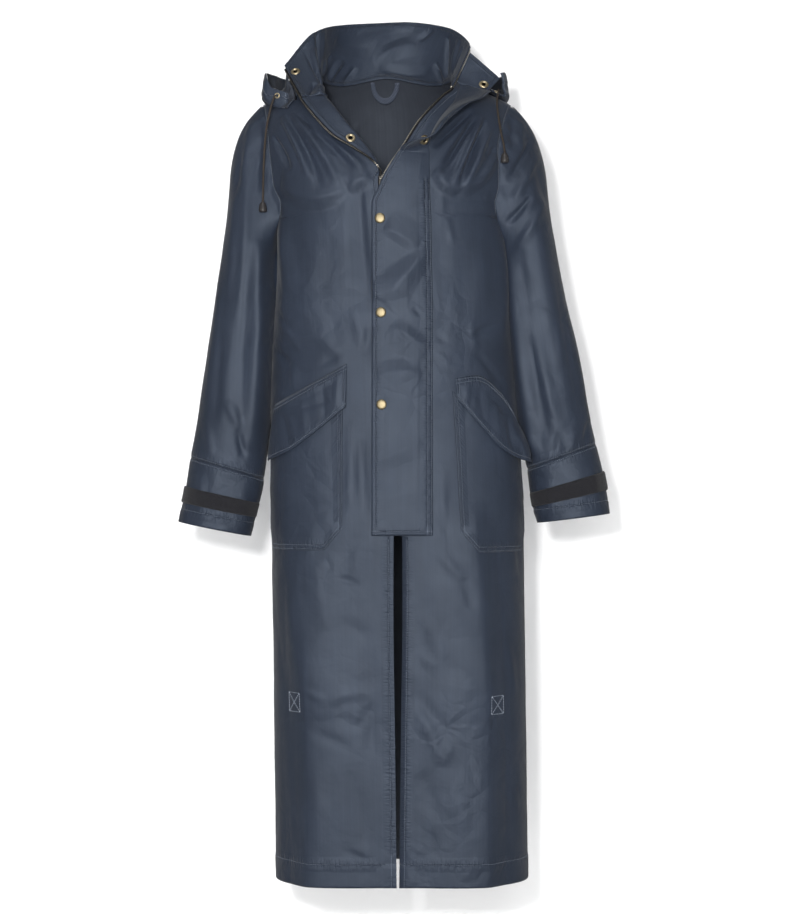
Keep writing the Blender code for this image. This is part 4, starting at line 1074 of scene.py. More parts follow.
class Shader:
    """A procedural material, built node by node."""

    def __init__(self, name: str) -> None:
        """Starts a material with its principled surface.

        Args:
            name: its name.
        """
        self.material = bpy.data.materials.new(name)
        self.material.use_nodes = True
        self.tree = self.material.node_tree
        self.surface = self.tree.nodes["Principled BSDF"]
        self.places = self.tree.nodes.new("ShaderNodeTexCoord")

    def give(self, socket: Socket, value: object) -> None:
        """Links a socket to a value's socket, or sets it.

        Args:
            socket: the socket.
            value: a value or a socket.
        """
        if isinstance(value, Socket):
            self.tree.links.new(value, socket)
        else:
            socket.default_value = value

    def set(self, name: str, value: object) -> None:
        """Gives the surface's input of this name a socket or a value."""
        self.give(self.surface.inputs[name], value)

    def node(self, kind: str, inputs: dict[str | int, object], **settings: object) -> bpy.types.Node:
        """Adds a node.

        Args:
            kind: its type, without the leading ShaderNode.
            inputs: its inputs' values or the sockets that feed them.
            settings: its other properties.

        Returns:
            The node.
        """
        made = self.tree.nodes.new("ShaderNode" + kind)
        for name, value in settings.items():
            setattr(made, name, value)
        for name, value in inputs.items():
            self.give(made.inputs[name], value)
        return made

    def uv(self, name: str) -> Socket:
        """Places on the piece's own map of this name."""
        return self.node("UVMap", {}, uv_map=name).outputs[0]

    def stretched(self, places: Socket, scale: tuple[float, float, float]) -> Socket:
        """Places stretched by a scale along each axis."""
        return self.node("Mapping", {"Vector": places, "Scale": scale}).outputs["Vector"]

    def noise(self, places: Socket, scale: float, detail: float = 2.0, rough: float = 0.5) -> Socket:
        """Value of a noise at these places."""
        inputs = {"Vector": places, "Scale": scale, "Detail": detail, "Roughness": rough}
        return self.node("TexNoise", inputs).outputs[0]

    def ranged(self, value: Socket, *ends: float) -> Socket:
        """Value carried from one range to another: low and high, then the new low and high."""
        return self.node("MapRange", dict(enumerate((value, *ends)))).outputs[0]

    def waves(self, places: Socket, scale: float, way: str, distortion: float = 0.0) -> Socket:
        """Value of waves that run along one way."""
        inputs = {"Vector": places, "Scale": scale, "Distortion": distortion}
        return self.node("TexWave", inputs, bands_direction=way).outputs["Fac"]

    def maths(self, operation: str, first: object, second: object) -> Socket:
        """Result of a sum on two values."""
        return self.node("Math", {0: first, 1: second}, operation=operation).outputs[0]

    def times(self, first: object, second: object) -> Socket:
        """Product of two values."""
        return self.maths("MULTIPLY", first, second)

    def scaled(self, colour: object, factor: object) -> Socket:
        """A colour, or a place, scaled by a factor."""
        return self.node("VectorMath", {0: colour, 3: factor}, operation="SCALE").outputs[0]

    def bumped(
        self, height: Socket, distance: float, strength: float, under: Socket | None = None
    ) -> Socket:
        """Normal of a surface raised by a height.

        Args:
            height: the height.
            distance: metres that a height of 1 stands for.
            strength: share of the effect.
            under: normal of the surface below, if any.

        Returns:
            The normal.
        """
        inputs = {"Height": height, "Distance": distance, "Strength": strength}
        if under:
            inputs["Normal"] = under
        return self.node("Bump", inputs).outputs["Normal"]


@dataclass(frozen=True)
class Finish:
    """A surface finish; its colour is in linear light."""

    name: str
    colour: tuple[float, float, float]
    roughness: float
    specular: float = 0.5
    metallic: float = 0.0

    def material(self) -> bpy.types.Material:
        """The finish's material, made once.

        Returns:
            The material.
        """
        known = bpy.data.materials.get(self.name)
        if known:
            return known
        shader = Shader(self.name)
        shader.set("Base Color", (*self.colour, 1))
        shader.set("Roughness", self.roughness)
        shader.set("Specular IOR Level", self.specular)
        shader.set("Metallic", self.metallic)
        self.dress(shader)
        return shader.material

    def dress(self, shader: Shader) -> None:
        """Adds what tells the finish from a plain one."""


@dataclass(frozen=True)
class CoatedCloth(Finish):
    """Close-woven nylon with a coated back: fine threads, faint streaks and crumples."""

    thread: float = 0.00045
    weave: float = 0.3
    streaks: float = 0.1
    patches: float = 0.12
    facet: float = 0.055
    sheen: float = 0.06

    def seams(self, shader: Shader) -> tuple[Socket, Socket]:
        """Painted shade in the sewn grooves, and the height of grooves and puckers in metres.

        Args:
            shader: the shader to dress.

        Returns:
            The painted groove shade and the height.
        """
        places = shader.uv("seams")
        offset = shader.node("SeparateXYZ", {0: places}).outputs[1]
        gaps = shader.node("SeparateXYZ", {0: shader.uv("gaps")}).outputs
        beyond = shader.maths("SUBTRACT", shader.maths("ABSOLUTE", offset, 0.0), gaps[0])
        groove = shader.ranged(shader.maths("ABSOLUTE", beyond, 0.0), 0.0003, 0.0013, 1.0, 0.0)
        near = shader.ranged(beyond, 0.0, 0.011, 1.0, 0.0)
        pleats = shader.noise(shader.stretched(places, (1, 0.25, 1)), 330.0, 1.0)
        pleats = shader.times(shader.times(pleats, near), gaps[1])
        stitches = shader.waves(places, 92.0, "X")
        # sunk is both the groove's depth and the painted shade that darkens the base colour in the groove,
        # in the stitch rhythm
        sunk = shader.times(groove, shader.ranged(stitches, 0.0, 1.0, 0.4, 1.0))
        return sunk, shader.maths("SUBTRACT", shader.times(pleats, 2.2), shader.times(sunk, 0.0009))

    def dress(self, shader: Shader) -> None:
        """Adds threads, streaks, patches, seams with painted shade in their grooves, and crumpled facets.

        Args:
            shader: the shader to dress.
        """
        threads = shader.uv("threads")
        body = shader.places.outputs["Object"]
        sunk, height = self.seams(shader)
        streak = shader.noise(shader.stretched(threads, (1, 0.012, 1)), 420.0, 2.0)
        streak = shader.ranged(streak, 0.3, 0.7, 1 - self.streaks, 1 + self.streaks)
        patch = shader.noise(body, 9.0, 4.0, 0.6)
        patch = shader.ranged(patch, 0.3, 0.7, 1 - self.patches, 1 + self.patches)
        factor = shader.times(streak, patch)
        # painted shade: the base colour darkens down to 0.62 in the sewn grooves
        factor = shader.times(factor, shader.ranged(sunk, 0.0, 1.0, 1.0, 0.62))
        shader.set("Base Color", shader.scaled(self.colour, factor))
        rough = shader.noise(body, 31.0, 3.0)
        rough = shader.ranged(rough, 0.3, 0.7, self.roughness - 0.035, self.roughness + 0.035)
        shader.set("Roughness", rough)
        shader.set("Sheen Weight", self.sheen)
        shader.set("Sheen Roughness", 0.4)
        shader.set("Specular Tint", (0.74, 0.85, 1.0, 1))
        bent = shader.node("TexNoise", {"Vector": body, "Scale": 14.0, "Detail": 2.0}).outputs[1]
        bent = shader.scaled(bent, 0.05)
        bent = shader.node("VectorMath", {0: body, 1: bent}, operation="ADD").outputs[0]
        calm = shader.ranged(shader.noise(body, 4.5, 1.0), 0.42, 0.62, 0.25, 1.3)
        for scale, share in ((19.0, 1.0), (47.0, 0.45)):
            cells = {"Vector": bent, "Scale": scale}
            roofs = shader.node("TexVoronoi", cells, feature="DISTANCE_TO_EDGE").outputs["Distance"]
            roofs = shader.node("Math", {0: roofs, 1: 0.3, 2: 0.12}, operation="SMOOTH_MIN").outputs[0]
            roofs = shader.times(roofs, calm)
            height = shader.maths("ADD", height, shader.times(roofs, self.facet * share / scale))
        height = shader.maths("ADD", height, shader.times(shader.noise(body, 70.0, 3.0), 0.0004))
        normal = shader.bumped(height, 1.0, 1.0)
        weave = [shader.waves(threads, 0.314 / self.thread, way) for way in "XY"]
        normal = shader.bumped(shader.maths("ADD", *weave), 0.00008, self.weave, normal)
        shader.set("Normal", normal)


@dataclass(frozen=True)
class Pile(Finish):
    """A short matt pile of loops."""

    grain: float = 900.0

    def dress(self, shader: Shader) -> None:
        """Adds the loops.

        Args:
            shader: the shader to dress.
        """
        body = shader.places.outputs["Object"]
        loops = shader.noise(body, self.grain, 3.0, 0.7)
        factor = shader.ranged(loops, 0.3, 0.7, 0.6, 1.5)
        shader.set("Base Color", shader.scaled(self.colour, factor))
        shader.set("Sheen Weight", 0.08)
        shader.set("Normal", shader.bumped(loops, 0.0008, 0.9))


@dataclass(frozen=True)
class Braid(Finish):
    """Braided or woven threads, in slanting ribs."""

    rib: float = 0.0011

    def dress(self, shader: Shader) -> None:
        """Adds the ribs.

        Args:
            shader: the shader to dress.
        """
        body = shader.places.outputs["Object"]
        ribs = shader.waves(body, 0.314 / self.rib, "DIAGONAL", 1.5)
        factor = shader.ranged(ribs, 0.0, 1.0, 0.65, 1.35)
        shader.set("Base Color", shader.scaled(self.colour, factor))
        shader.set("Normal", shader.bumped(ribs, 0.0004, 0.7))


@dataclass(frozen=True)
class WornMetal(Finish):
    """Plated metal with fine scratches and a slightly uneven tone."""

    wear: float = 0.1

    def dress(self, shader: Shader) -> None:
        """Adds the wear.

        Args:
            shader: the shader to dress.
        """
        body = shader.places.outputs["Object"]
        spots = shader.noise(body, 700.0, 3.0, 0.6)
        low, high = self.roughness - self.wear, self.roughness + self.wear
        shader.set("Roughness", shader.ranged(spots, 0.3, 0.7, low, high))
        factor = shader.ranged(spots, 0.3, 0.7, 0.88, 1.12)
        shader.set("Base Color", shader.scaled(self.colour, factor))
        shader.set("Normal", shader.bumped(spots, 0.0002, 0.25))


@dataclass(frozen=True)
class Finishes:
    """The finishes of the coat."""

    nylon: Finish = CoatedCloth("navy nylon", (0.019, 0.025, 0.0395), 0.49, 0.66)
    inside: Finish = CoatedCloth("coated inside", (0.032, 0.036, 0.046), 0.55, sheen=0.04, facet=0.02)
    thread: Finish = Braid("blue-grey thread", (0.19, 0.225, 0.29), 0.6, rib=0.0006)
    pale_thread: Finish = Braid("pale thread", (0.44, 0.49, 0.58), 0.6, rib=0.0006)
    fastener: Finish = Pile("black loop pile", (0.012, 0.012, 0.0145), 0.95, 0.3)
    tape: Finish = Braid("dark zip tape", (0.01, 0.01, 0.012), 0.85, 0.2)
    loop: Finish = Braid("navy tape", (0.05, 0.06, 0.085), 0.6, 0.4)
    # near-black discs in the ring holes: painted shade of the holes
    hollow: Finish = Finish("dark socket", (0.004, 0.004, 0.004), 0.8, 0.1)
    teeth: Finish = WornMetal("zip teeth", (0.42, 0.39, 0.33), 0.42, metallic=1.0)
    brass: Finish = WornMetal("satin brass", (0.4, 0.33, 0.2), 0.46, metallic=1.0)
    # a lighter copy of the satin brass for rings and eyelets: painted highlight
    ring_brass: Finish = WornMetal("bright brass", (0.74, 0.62, 0.4), 0.38, metallic=1.0)
    metal: Finish = WornMetal("dark plated metal", (0.16, 0.15, 0.13), 0.35, metallic=1.0)
    cord: Finish = Braid("dark braided cord", (0.036, 0.029, 0.024), 0.8, 0.3)
    plastic: Finish = WornMetal("dark plastic", (0.026, 0.024, 0.024), 0.36, wear=0.05)


@dataclass(frozen=True)
class Lamp:
    """A rectangular soft light; the powers are in watts."""

    name: str
    at: tuple[float, float, float]
    width: float
    height: float
    power: float
    aim: tuple[float, float, float] = (0.0, 0.0, -0.57)
    glossy: bool = True


@dataclass(frozen=True)
class Studio:
    """Camera, lights, wall and floor."""

    eye: tuple[float, float, float] = (0.003, -3.9, -0.576)
    lens: float = 102.4
    sensor: float = 36.0
    floor_height: float = -1.36
    wall_depth: float = 0.26
    ambient: float = 0.1
    glow: float = 0.1
    lamps: tuple[Lamp, ...] = (
        Lamp("front_box", (0.0, -4.1, -0.3), 1.7, 1.8, 90.0),
        Lamp("shadow_key", (-0.3, -3.7, -0.22), 0.2, 0.2, 90.0, glossy=False),
        Lamp("top_box", (-0.2, -1.6, 1.7), 1.2, 0.8, 12.0),
        Lamp("right_fill", (2.6, -1.6, 0.2), 0.5, 1.8, 4.0, glossy=False),
        Lamp("left_fill", (-2.6, -1.4, -0.2), 0.4, 1.6, 3.0, glossy=False),
        Lamp("back_box", (0.2, 3.4, 1.3), 1.6, 1.2, 50.0),
        Lamp("back_fill", (-0.4, 3.6, 0.0), 1.6, 1.6, 90.0, glossy=False),
    )

    def camera(self) -> None:
        """Sets up the camera, straight ahead of the coat."""
        lens = bpy.data.cameras.new("camera")
        lens.lens, lens.sensor_width = self.lens, self.sensor
        lens.clip_start, lens.clip_end = 0.05, 60.0
        camera = placed("camera", lens)
        camera.location = self.eye
        camera.rotation_euler = (QUARTER, 0, 0)
        bpy.context.scene.camera = camera
        bpy.context.scene.view_settings.view_transform = "Standard"

    def plane(self, name: str, size: float, finish_of: Callable[[Shader], None]) -> Thing:
        """A square of the set with its own shader.

        Args:
            name: its name.
            size: half its width.
            finish_of: what dresses its shader.

        Returns:
            The square.
        """
        builder = bmesh.new()
        bmesh.ops.create_grid(builder, x_segments=1, y_segments=1, size=size)
        shader = Shader(name + " paint")
        finish_of(shader)
        thing = meshed(name, builder, shader.material)
        return thing

    def paint(self, shader: Shader) -> None:
        """Plain matt white."""
        shader.set("Base Color", (0.9, 0.9, 0.9, 1))
        shader.set("Roughness", 0.9)

    def one_sided(self, shader: Shader) -> None:
        """Matt white that only shows from the front.

        Args:
            shader: the shader to dress.
        """
        self.paint(shader)
        facing = shader.node("NewGeometry", {}).outputs["Backfacing"]
        clear = shader.node("BsdfTransparent", {}).outputs[0]
        path = shader.node("LightPath", {})
        seen = path.outputs["Is Camera Ray"]
        open_to = shader.maths("MAXIMUM", facing, path.outputs["Is Shadow Ray"])
        strength = shader.times(seen, self.glow)
        glow = shader.node("Emission", {"Color": (1, 1, 1, 1), "Strength": strength}).outputs[0]
        lit = shader.node("AddShader", {0: shader.surface.outputs[0], 1: glow}).outputs[0]
        mixed = shader.node("MixShader", {0: open_to, 1: lit, 2: clear}).outputs[0]
        shader.give(shader.tree.nodes["Material Output"].inputs["Surface"], mixed)

    def build(self) -> None:
        """Sets up the white surroundings, the wall, the floor and the lights."""
        world = bpy.data.worlds.new("white room")
        world.use_nodes = True
        ground = world.node_tree.nodes["Background"]
        ground.inputs["Color"].default_value = (1, 1, 1, 1)
        ground.inputs["Strength"].default_value = self.ambient
        bpy.context.scene.world = world
        floor = self.plane("floor", 30.0, self.paint)
        floor.location = (0, 0, self.floor_height)
        wall = self.plane("wall", 4.0, self.one_sided)
        wall.rotation_euler = (QUARTER, 0, 0)
        wall.location = (0, self.wall_depth, 4.0 + self.floor_height)
        floor.visible_glossy = wall.visible_glossy = False
        for lamp in self.lamps:
            light = bpy.data.lights.new(lamp.name, "AREA")
            light.shape = "RECTANGLE"
            light.size, light.size_y, light.energy = lamp.width, lamp.height, lamp.power
            thing = placed(lamp.name, light)
            thing.location = lamp.at
            thing.visible_glossy = lamp.glossy
            way = Vector(lamp.aim) - Vector(lamp.at)
            thing.rotation_euler = way.to_track_quat("-Z", "Y").to_euler()


def mixed(first: float, last: float, count: int, power: float = 1.0) -> Array:
    """Values from first to last, closer together at the last one for higher powers."""
    return first + (last - first) * (1 - np.linspace(1, 0, count + 1) ** power)


def joined(*runs: Array) -> Array:
    """Runs of values put end to end, without the doubled ends."""
    return np.concatenate([runs[0]] + [run[1:] for run in runs[1:]])


SLIT = dict(pucker=0.0008, spacing=0.0021, reach=0.01, slant=0.9)


@dataclass
class FrontPanel(ClothPiece):
    """A front panel; the left one goes on past its fold line as the turned-out lapel."""

    strip: int = 14
    panel: int = 60
    skirt_rows: int = 290
    chest_rows: int = 62

    def __post_init__(self) -> None:
        """Works out the grid."""
        if self.side is Side.RIGHT:
            self.strip = 0
        top = self.form.neck_top(self.side)
        skirt, chest = mixed(-1, 0, self.skirt_rows), mixed(0, top, self.chest_rows)
        self.levels = joined(skirt, chest, mixed(top, 1, 24, 1.8))
        self.top_row = self.skirt_rows + self.chest_rows
        columns, rows = self.strip + self.panel, len(self.levels) - 1
        self.cut("front_" + self.side.word, columns, rows, self.side.value, (0.31, 1.24), 0.3)
        self.edges = (
            EdgeWork(Edge.FOOT, seams=(0.034,), hem=0.034, pucker=0.001, spacing=0.0032, reach=0.014),
            EdgeWork(Edge.START, seams=(0.0072,), stop=0.4, **SLIT),
            EdgeWork(Edge.START, seams=(0.0062,), begin=0.6, stop=self.top_row / self.rows - 0.002,
                     pucker=0.0003, spacing=0.0023, reach=0.006),
            EdgeWork(Edge.END, roll=0.0009),
            EdgeWork(Edge.END, seams=(0.003,), begin=0.775, roll=0.0009,
                     pucker=0.00035, spacing=0.003, reach=0.01),
        )

    def place(self, column: Array, row: Array) -> Array:
        """Form of the panel.

        Args:
            column: columns of the grid's points.
            row: rows of the grid's points.

        Returns:
            The points.
        """
        level = self.level_of(row)
        panel = np.clip((column - self.strip) / self.panel, 0, 1)
        points = self.form.front(self.side, panel, level)
        if self.strip:
            width = self.form.turned_out.read("width", level)
            reach = width * np.clip(1 - column / self.strip, 0, 1)
            turned = self.form.lapel(reach, level)
            points = np.where((column < self.strip)[..., None], turned, points)
        return points

    def kept(self, column: Array, row: Array) -> Array:
        """Drops the strip above the lapel's top."""
        return (column >= self.strip) | (row < self.top_row)


@dataclass
class BackPanel(ClothPiece):
    """The back panel, from armhole to armhole."""


    def __post_init__(self) -> None:
        """Works out the grid."""
        self.levels = joined(mixed(-1, 0, 240), mixed(0, 0.86, 50), mixed(0.86, 1, 20, 1.8))
        self.cut("back", 116, len(self.levels) - 1, -1, (0.56, 1.24), 0.62)
        sides = (Edge.START, Edge.END)
        self.edges = (
            EdgeWork(Edge.FOOT, seams=(0.034,), hem=0.034, pucker=0.0005, spacing=0.0032, reach=0.012),
            *(EdgeWork(edge, roll=0.0009) for edge in sides),
            *(EdgeWork(edge, seams=(0.003,), begin=0.775, pucker=0.0003, spacing=0.003) for edge in sides),
        )

    def place(self, column: Array, row: Array) -> Array:
        """Form of the panel."""
        level = self.level_of(row)
        return self.form.back(2 * column / self.columns - 1, level)


@dataclass(frozen=True)
class SleeveForm:
    """A sleeve's tube and its cap; turn 0 is outermost and a quarter turn is the front."""

    form: CoatForm
    side: Side
    tube: SizeTable
    creases: tuple[Crease, ...]
    rear_creases: tuple[Crease, ...]
    tuck: float = 0.98
    touch: SizeTable = SizeTable(
        "depth move",
        (0.09, 0), (0.14, 0.006), (0.19, 0.013), (0.25, 0.018), (0.36, 0.013), (0.5, 0.006), (0.6, 0),
    )
    gathers: float = 0.0016
    gather_spacing: float = 0.0042
    roundness: float = 0.9
    crumple_swing: float = 0.024

    def armhole(self) -> Array:
        """The armhole, from the shoulder down its front and up its back.

        Returns:
            Its points, the last one on the first.
        """
        level = mixed(0, 1, 60, 1.8)[::-1]
        angle = self.form.side_angle(self.side, level) * self.tuck
        down = self.form.skin(Face.FRONT, angle, level, -0.0014)
        up = self.form.skin(Face.BACK, angle, level, -0.0014)
        ring = np.concatenate([down, up[-2::-1]])
        ring[0] = ring[-1] = (ring[0] + ring[-1]) / 2
        return ring

    def ring(self, columns: int) -> tuple[Array, Array]:
        """Evenly spaced points of the armhole, and the turn of each.

        Args:
            columns: number of steps.

        Returns:
            The points and the turns.
        """
        ring = self.armhole()
        lengths = run_lengths(ring)
        share = np.linspace(0, 1, columns + 1)
        return along_line(share * lengths[-1], lengths, ring), share * 2 * math.pi

    def bare(self, turn: Array, share: Array) -> Array:
        """Place on the uncreased tube.

        Args:
            turn: turns round the sleeve.
            share: share of the sleeve's length.

        Returns:
            The points.
        """
        share = np.asarray(share, float)
        zero = np.zeros_like(share)
        read = self.tube.read
        outer = np.stack([read("outer_x", share), zero, read("outer_z", share)], -1)
        inner = np.stack([read("inner_x", share), zero, read("inner_z", share)], -1)
        cosine, sine = np.cos(turn), np.sin(turn)
        wide = np.sign(cosine) * np.abs(cosine) ** self.roundness
        deep = np.sign(sine) * np.abs(sine) ** self.roundness
        points = (outer + inner) / 2 + (outer - inner) / 2 * wide[..., None]
        points[..., 1] = read("middle_y", share) - read("half_depth", share) * deep
        return points

    def sleeve(self, turns: Array, ring: Array, share: Array, cap: Array) -> Array:
        """Points of cap and tube: cap runs from 0 at the armhole to 1, then share goes on.

        Args:
            turns: turn of each point.
            ring: the armhole's point above each point.
            share: share of the tube, 0 in the cap.
            cap: share of the cap, 1 in the tube.

        Returns:
            The points.
        """
        end = self.bare(turns, np.zeros_like(turns))
        span = np.linalg.norm(end - ring, axis=-1, keepdims=True)
        height = (1 + np.cos(turns)) / 2
        zero = np.zeros_like(height)
        leave = unit(np.stack([self.side.value * (0.45 + 0.4 * height), zero, 0.3 * height - 0.9], -1))
        arrive = unit(self.bare(turns, np.full_like(turns, 0.02)) - end)
        at = cap[..., None]
        points = curved((ring, end), (leave, arrive), 0, span * 1.1, at)
        points = np.where(at >= 1, self.bare(turns, share), points)
        against = np.clip(-np.cos(turns), 0, 1) ** 3 * np.minimum(cap * 4, 1)
        points[..., 0] -= self.side.value * self.touch.read("move", -points[..., 2]) * against
        return points

    def rise(self, points: Array, turns: Array) -> Array:
        """Lift of the creases at these places.

        Args:
            points: the points.
            turns: turns round the sleeve.

        Returns:
            The lift.
        """
        x, z = points[..., 0], points[..., 2]
        deep = np.sin(turns)
        ahead = np.clip(deep * 2.5 + 0.45, 0, 1)
        total = lifted(self.creases, x, z) * ahead + lifted(self.rear_creases, x, z) * (1 - ahead)
        return total + lifted(self.form.crumples, x + self.crumple_swing * deep, z + 0.2)


@dataclass
class Sleeve(ClothPiece):
    """A set-in sleeve down to its cuff seam, gathered at the cap."""

    shape_of: SleeveForm = None
    cuff_share: float = 0.8
    cap_rows: int = 44
    tube_rows: int = 104
    smoothings: int = 60
    underarm_turn: float = 0.7

    def __post_init__(self) -> None:
        """Works out the grid."""
        side, self.closed = self.shape_of.side, True
        rows = self.cap_rows + self.tube_rows
        self.cut("sleeve_" + side.word, 96, rows, side.value, (0.44, 0.56), 0.19)
        self.edges = (
            EdgeWork(Edge.HEAD, seams=(0.0022,), roll=0.001, pucker=0.0012, spacing=0.0026, reach=0.014),
            EdgeWork(Edge.FOOT, roll=0.0012, roll_reach=0.006),
        )

    def place(self, column: Array, row: Array) -> Array:
        """Form of the sleeve.

        Args:
            column: columns of the grid's points.
            row: rows of the grid's points.

        Returns:
            The points.
        """
        ring, turns = self.shape_of.ring(self.columns)
        places = column.astype(int)
        turns, ring = turns[places], ring[places]
        cap = np.clip(row / self.cap_rows, 0, 1)
        share = self.cuff_share * np.clip(row - self.cap_rows, 0, None) / self.tube_rows
        points = self.shape_of.sleeve(turns, ring, share, cap)
        smooth = points.copy()
        for _ in range(self.smoothings):
            smooth[:, 1:-1] = (smooth[:, :-2] + smooth[:, 2:]) / 2
            smooth[:, 0] = smooth[:, -1] = (smooth[:, 1] + smooth[:, -2]) / 2
        near = np.clip(1 - np.abs(turns - math.pi) / self.underarm_turn, 0, 1) * cap * (1 - cap) * 4
        return points + (smooth - points) * near[..., None]

    def relief(self, column: Array, row: Array) -> Array:
        """Creases, and gathers that fade down the cap.

        Args:
            column: columns of the grid's points.
            row: rows of the grid's points.

        Returns:
            The lift.
        """
        ring, turns = self.shape_of.ring(self.columns)
        places = column.astype(int)
        points = self.place(column, row)
        total = self.shape_of.rise(points, turns[places])
        down = run_lengths(points, 0)
        around = run_lengths(ring)[places]
        height = (1 + np.cos(turns[places])) / 2
        gather = restless(around / self.shape_of.gather_spacing + 1.5 * np.sin(down / 0.02))
        fade = np.exp(-((down / (0.012 + 0.03 * height)) ** 2)) * np.clip(down / 0.004, 0, 1)
        ease = np.clip(down / 0.012, 0, 1)
        return total * ease + self.shape_of.gathers * gather * fade * (0.25 + 0.75 * height)


@dataclass
class Cuff(ClothPiece):
    """The lower end of a sleeve, below its slanting seam."""

    shape_of: SleeveForm = None
    top: float = 0.8

    def __post_init__(self) -> None:
        """Works out the grid."""
        side, self.closed = self.shape_of.side, True
        self.cut("cuff_" + side.word, 96, 28, side.value, (0.33, 0.12), 0.031)
        self.edges = (
            EdgeWork(Edge.FOOT, roll=0.0012, seams=(0.004,), pucker=0.0008, spacing=0.0026, reach=0.01),
            EdgeWork(Edge.HEAD, seams=(0.02,), hem=0.02, hem_rise=0.0006, pucker=0.001, spacing=0.003),
        )

    def place(self, column: Array, row: Array) -> Array:
        """Form of the cuff."""
        turns = column / self.columns * 2 * math.pi
        return self.shape_of.bare(turns, self.top + (1 - self.top) * row / self.rows)

    def relief(self, column: Array, row: Array) -> Array:
        """Creases of the cuff."""
        turns = column / self.columns * 2 * math.pi
        return self.shape_of.rise(self.place(column, row), turns)


@dataclass
class CuffStrap(ClothPiece):
    """A hook-and-loop strap on a cuff."""

    shape_of: SleeveForm = None
    top: float = 0.883
    height: float = 0.05
    first: float = -0.06
    last: float = 0.47
    lift: float = 0.003

    def __post_init__(self) -> None:
        """Works out the grid."""
        side = self.shape_of.side
        self.slot, self.wall = "black_hook_and_loop", 0.0016
        self.cut("strap_" + side.word, 70, 12, side.value, (0.177, 0.026), kind="pile")
        self.edges = tuple(EdgeWork(edge, roll=0.0009, roll_reach=0.0025) for edge in Edge)

    def place(self, column: Array, row: Array) -> Array:
        """Form of the strap.

        Args:
            column: columns of the grid's points.
            row: rows of the grid's points.

        Returns:
            The points.
        """
        turn = 2 * math.pi * (self.first + (self.last - self.first) * column / self.columns)
        share = self.top + self.height * row / self.rows
        points = self.shape_of.bare(turn, share)
        around = self.shape_of.bare(turn + 0.02, share) - self.shape_of.bare(turn - 0.02, share)
        along = self.shape_of.bare(turn, share + 0.01) - self.shape_of.bare(turn, share - 0.01)
        normal = unit(np.cross(around, along)) * self.outward
        rise = self.shape_of.rise(points, turn)
        return points + normal * (rise * 0.7 + self.lift)[..., None]


@dataclass
class Collar(ClothPiece):
    """The stand collar, from the zip edge of the lapel to the right front's edge."""

    length: float = 0.4
    height: float = 0.09
    seam: float = -0.0032
    tops: SizeTable = SizeTable(
        "share x y z",
        (0, -0.1685, -0.03, 0.005), (0.175, -0.1255, 0, 0.061), (0.354, -0.084, 0.06, 0.082),
        (0.6, 0.014, 0.1, 0.092), (0.78, 0.079, 0.06, 0.077), (0.95, 0.108, 0, 0.0443),
        (1, 0.1095, -0.02, 0.036),
    )
    creases: tuple[Crease, ...] = folds(
        (8, 0, 26, 26, 6.5, 4, 6), (22, 0, 34, 20, -5.9, 4, 5), (34, 0, 52, 34, 5.5, 5, 5),
        (48, 10, 58, 70, -4.7, 10, 8), (67, -10, 74, 92, 16.3, 6, 10), (90, 30, 94, 88, -3.3, 7, 7),
        (100, 4, 112, 36, -6.2, 5, 5, 2), (116, 4, 128, 46, 6.2, 4, 6), (142, 6, 158, 36, -6.2, 8, 6, 4),
        (166, 4, 178, 28, 4.7, 6, 8), (130, 66, 200, 52, 5.5, 14, 16), (205, 30, 262, 56, -6.5, 14, 16, 4),
        (170, 78, 250, 82, -4, 8, 8), (215, 16, 290, 20, 5.5, 12, 10, -6), (262, 62, 285, 86, 4, 6, 6),
        (312, 78, 322, 8, 9.5, 4, 7), (296, 36, 316, 0, 8.3, 3, 6), (342, 80, 340, 12, -5.5, 7, 6),
        (362, 74, 354, 20, 4.7, 5, 5),
    )

    def __post_init__(self) -> None:
        """Works out the grid."""
        self.wall = 0.0022
        self.cut("collar", 220, 44, -1, (0.44, 0.095))
        self.edges = (
            EdgeWork(Edge.FOOT, seams=(0.0065,), roll=0.0016, roll_reach=0.006,
                     pucker=0.0009, spacing=0.0026, reach=0.008),
            EdgeWork(Edge.HEAD, seams=(0.006,), roll=0.0012, pucker=0.0007, spacing=0.0028, reach=0.006),
            EdgeWork(Edge.START, seams=(0.0055,), roll=0.0008),
            EdgeWork(Edge.END, seams=(0.0055,), roll=0.0008),
        )

    def place(self, column: Array, row: Array) -> Array:
        """Form of the collar.

        Args:
            column: columns of the grid's points.
            row: rows of the grid's points.

        Returns:
            The points.
        """
        base = self.form.neck_line()
        lengths = run_lengths(base)
        share = column / self.columns
        at = share * lengths[-1]
        before, foot, after = (along_line(at + move, lengths, base) for move in (-0.004, 0, 0.004))
        top = self.tops.place(share)
        along = unit(after - before)
        rise = top - foot
        away = unit(rise - along * (rise * along).sum(-1, keepdims=True))
        start = foot + away * self.seam
        return start + (top - start) * (row / self.rows)[..., None]

    def relief(self, column: Array, row: Array) -> Array:
        """Creases of the collar, in its own sizes."""
        x, z = column / self.columns * self.length, row / self.rows * self.height
        return lifted(self.creases, x, z) + 0.8 * lifted(self.form.crumples, x * 1.2 + 3, z)

    def edge_of(self, side: Side, height: Array) -> tuple[Array, Array, Array]:
        """Points of a front edge, the way out of it, and the outer normal there.

        Args:
            side: the viewer's left or right.
            height: share of the collar's height.

        Returns:
            All three.
        """
        column = np.full_like(height, 0.0 if side is Side.LEFT else self.columns)
        beside = column - side.value * 3.0
        row = height * self.rows
        point = self.place(column, row)
        out = unit(point - self.place(beside, row))
        top = self.place(column, np.full_like(row, self.rows))
        rise = top - self.place(column, np.zeros_like(row))
        return point, out, unit(np.cross(rise, out) * side.value)


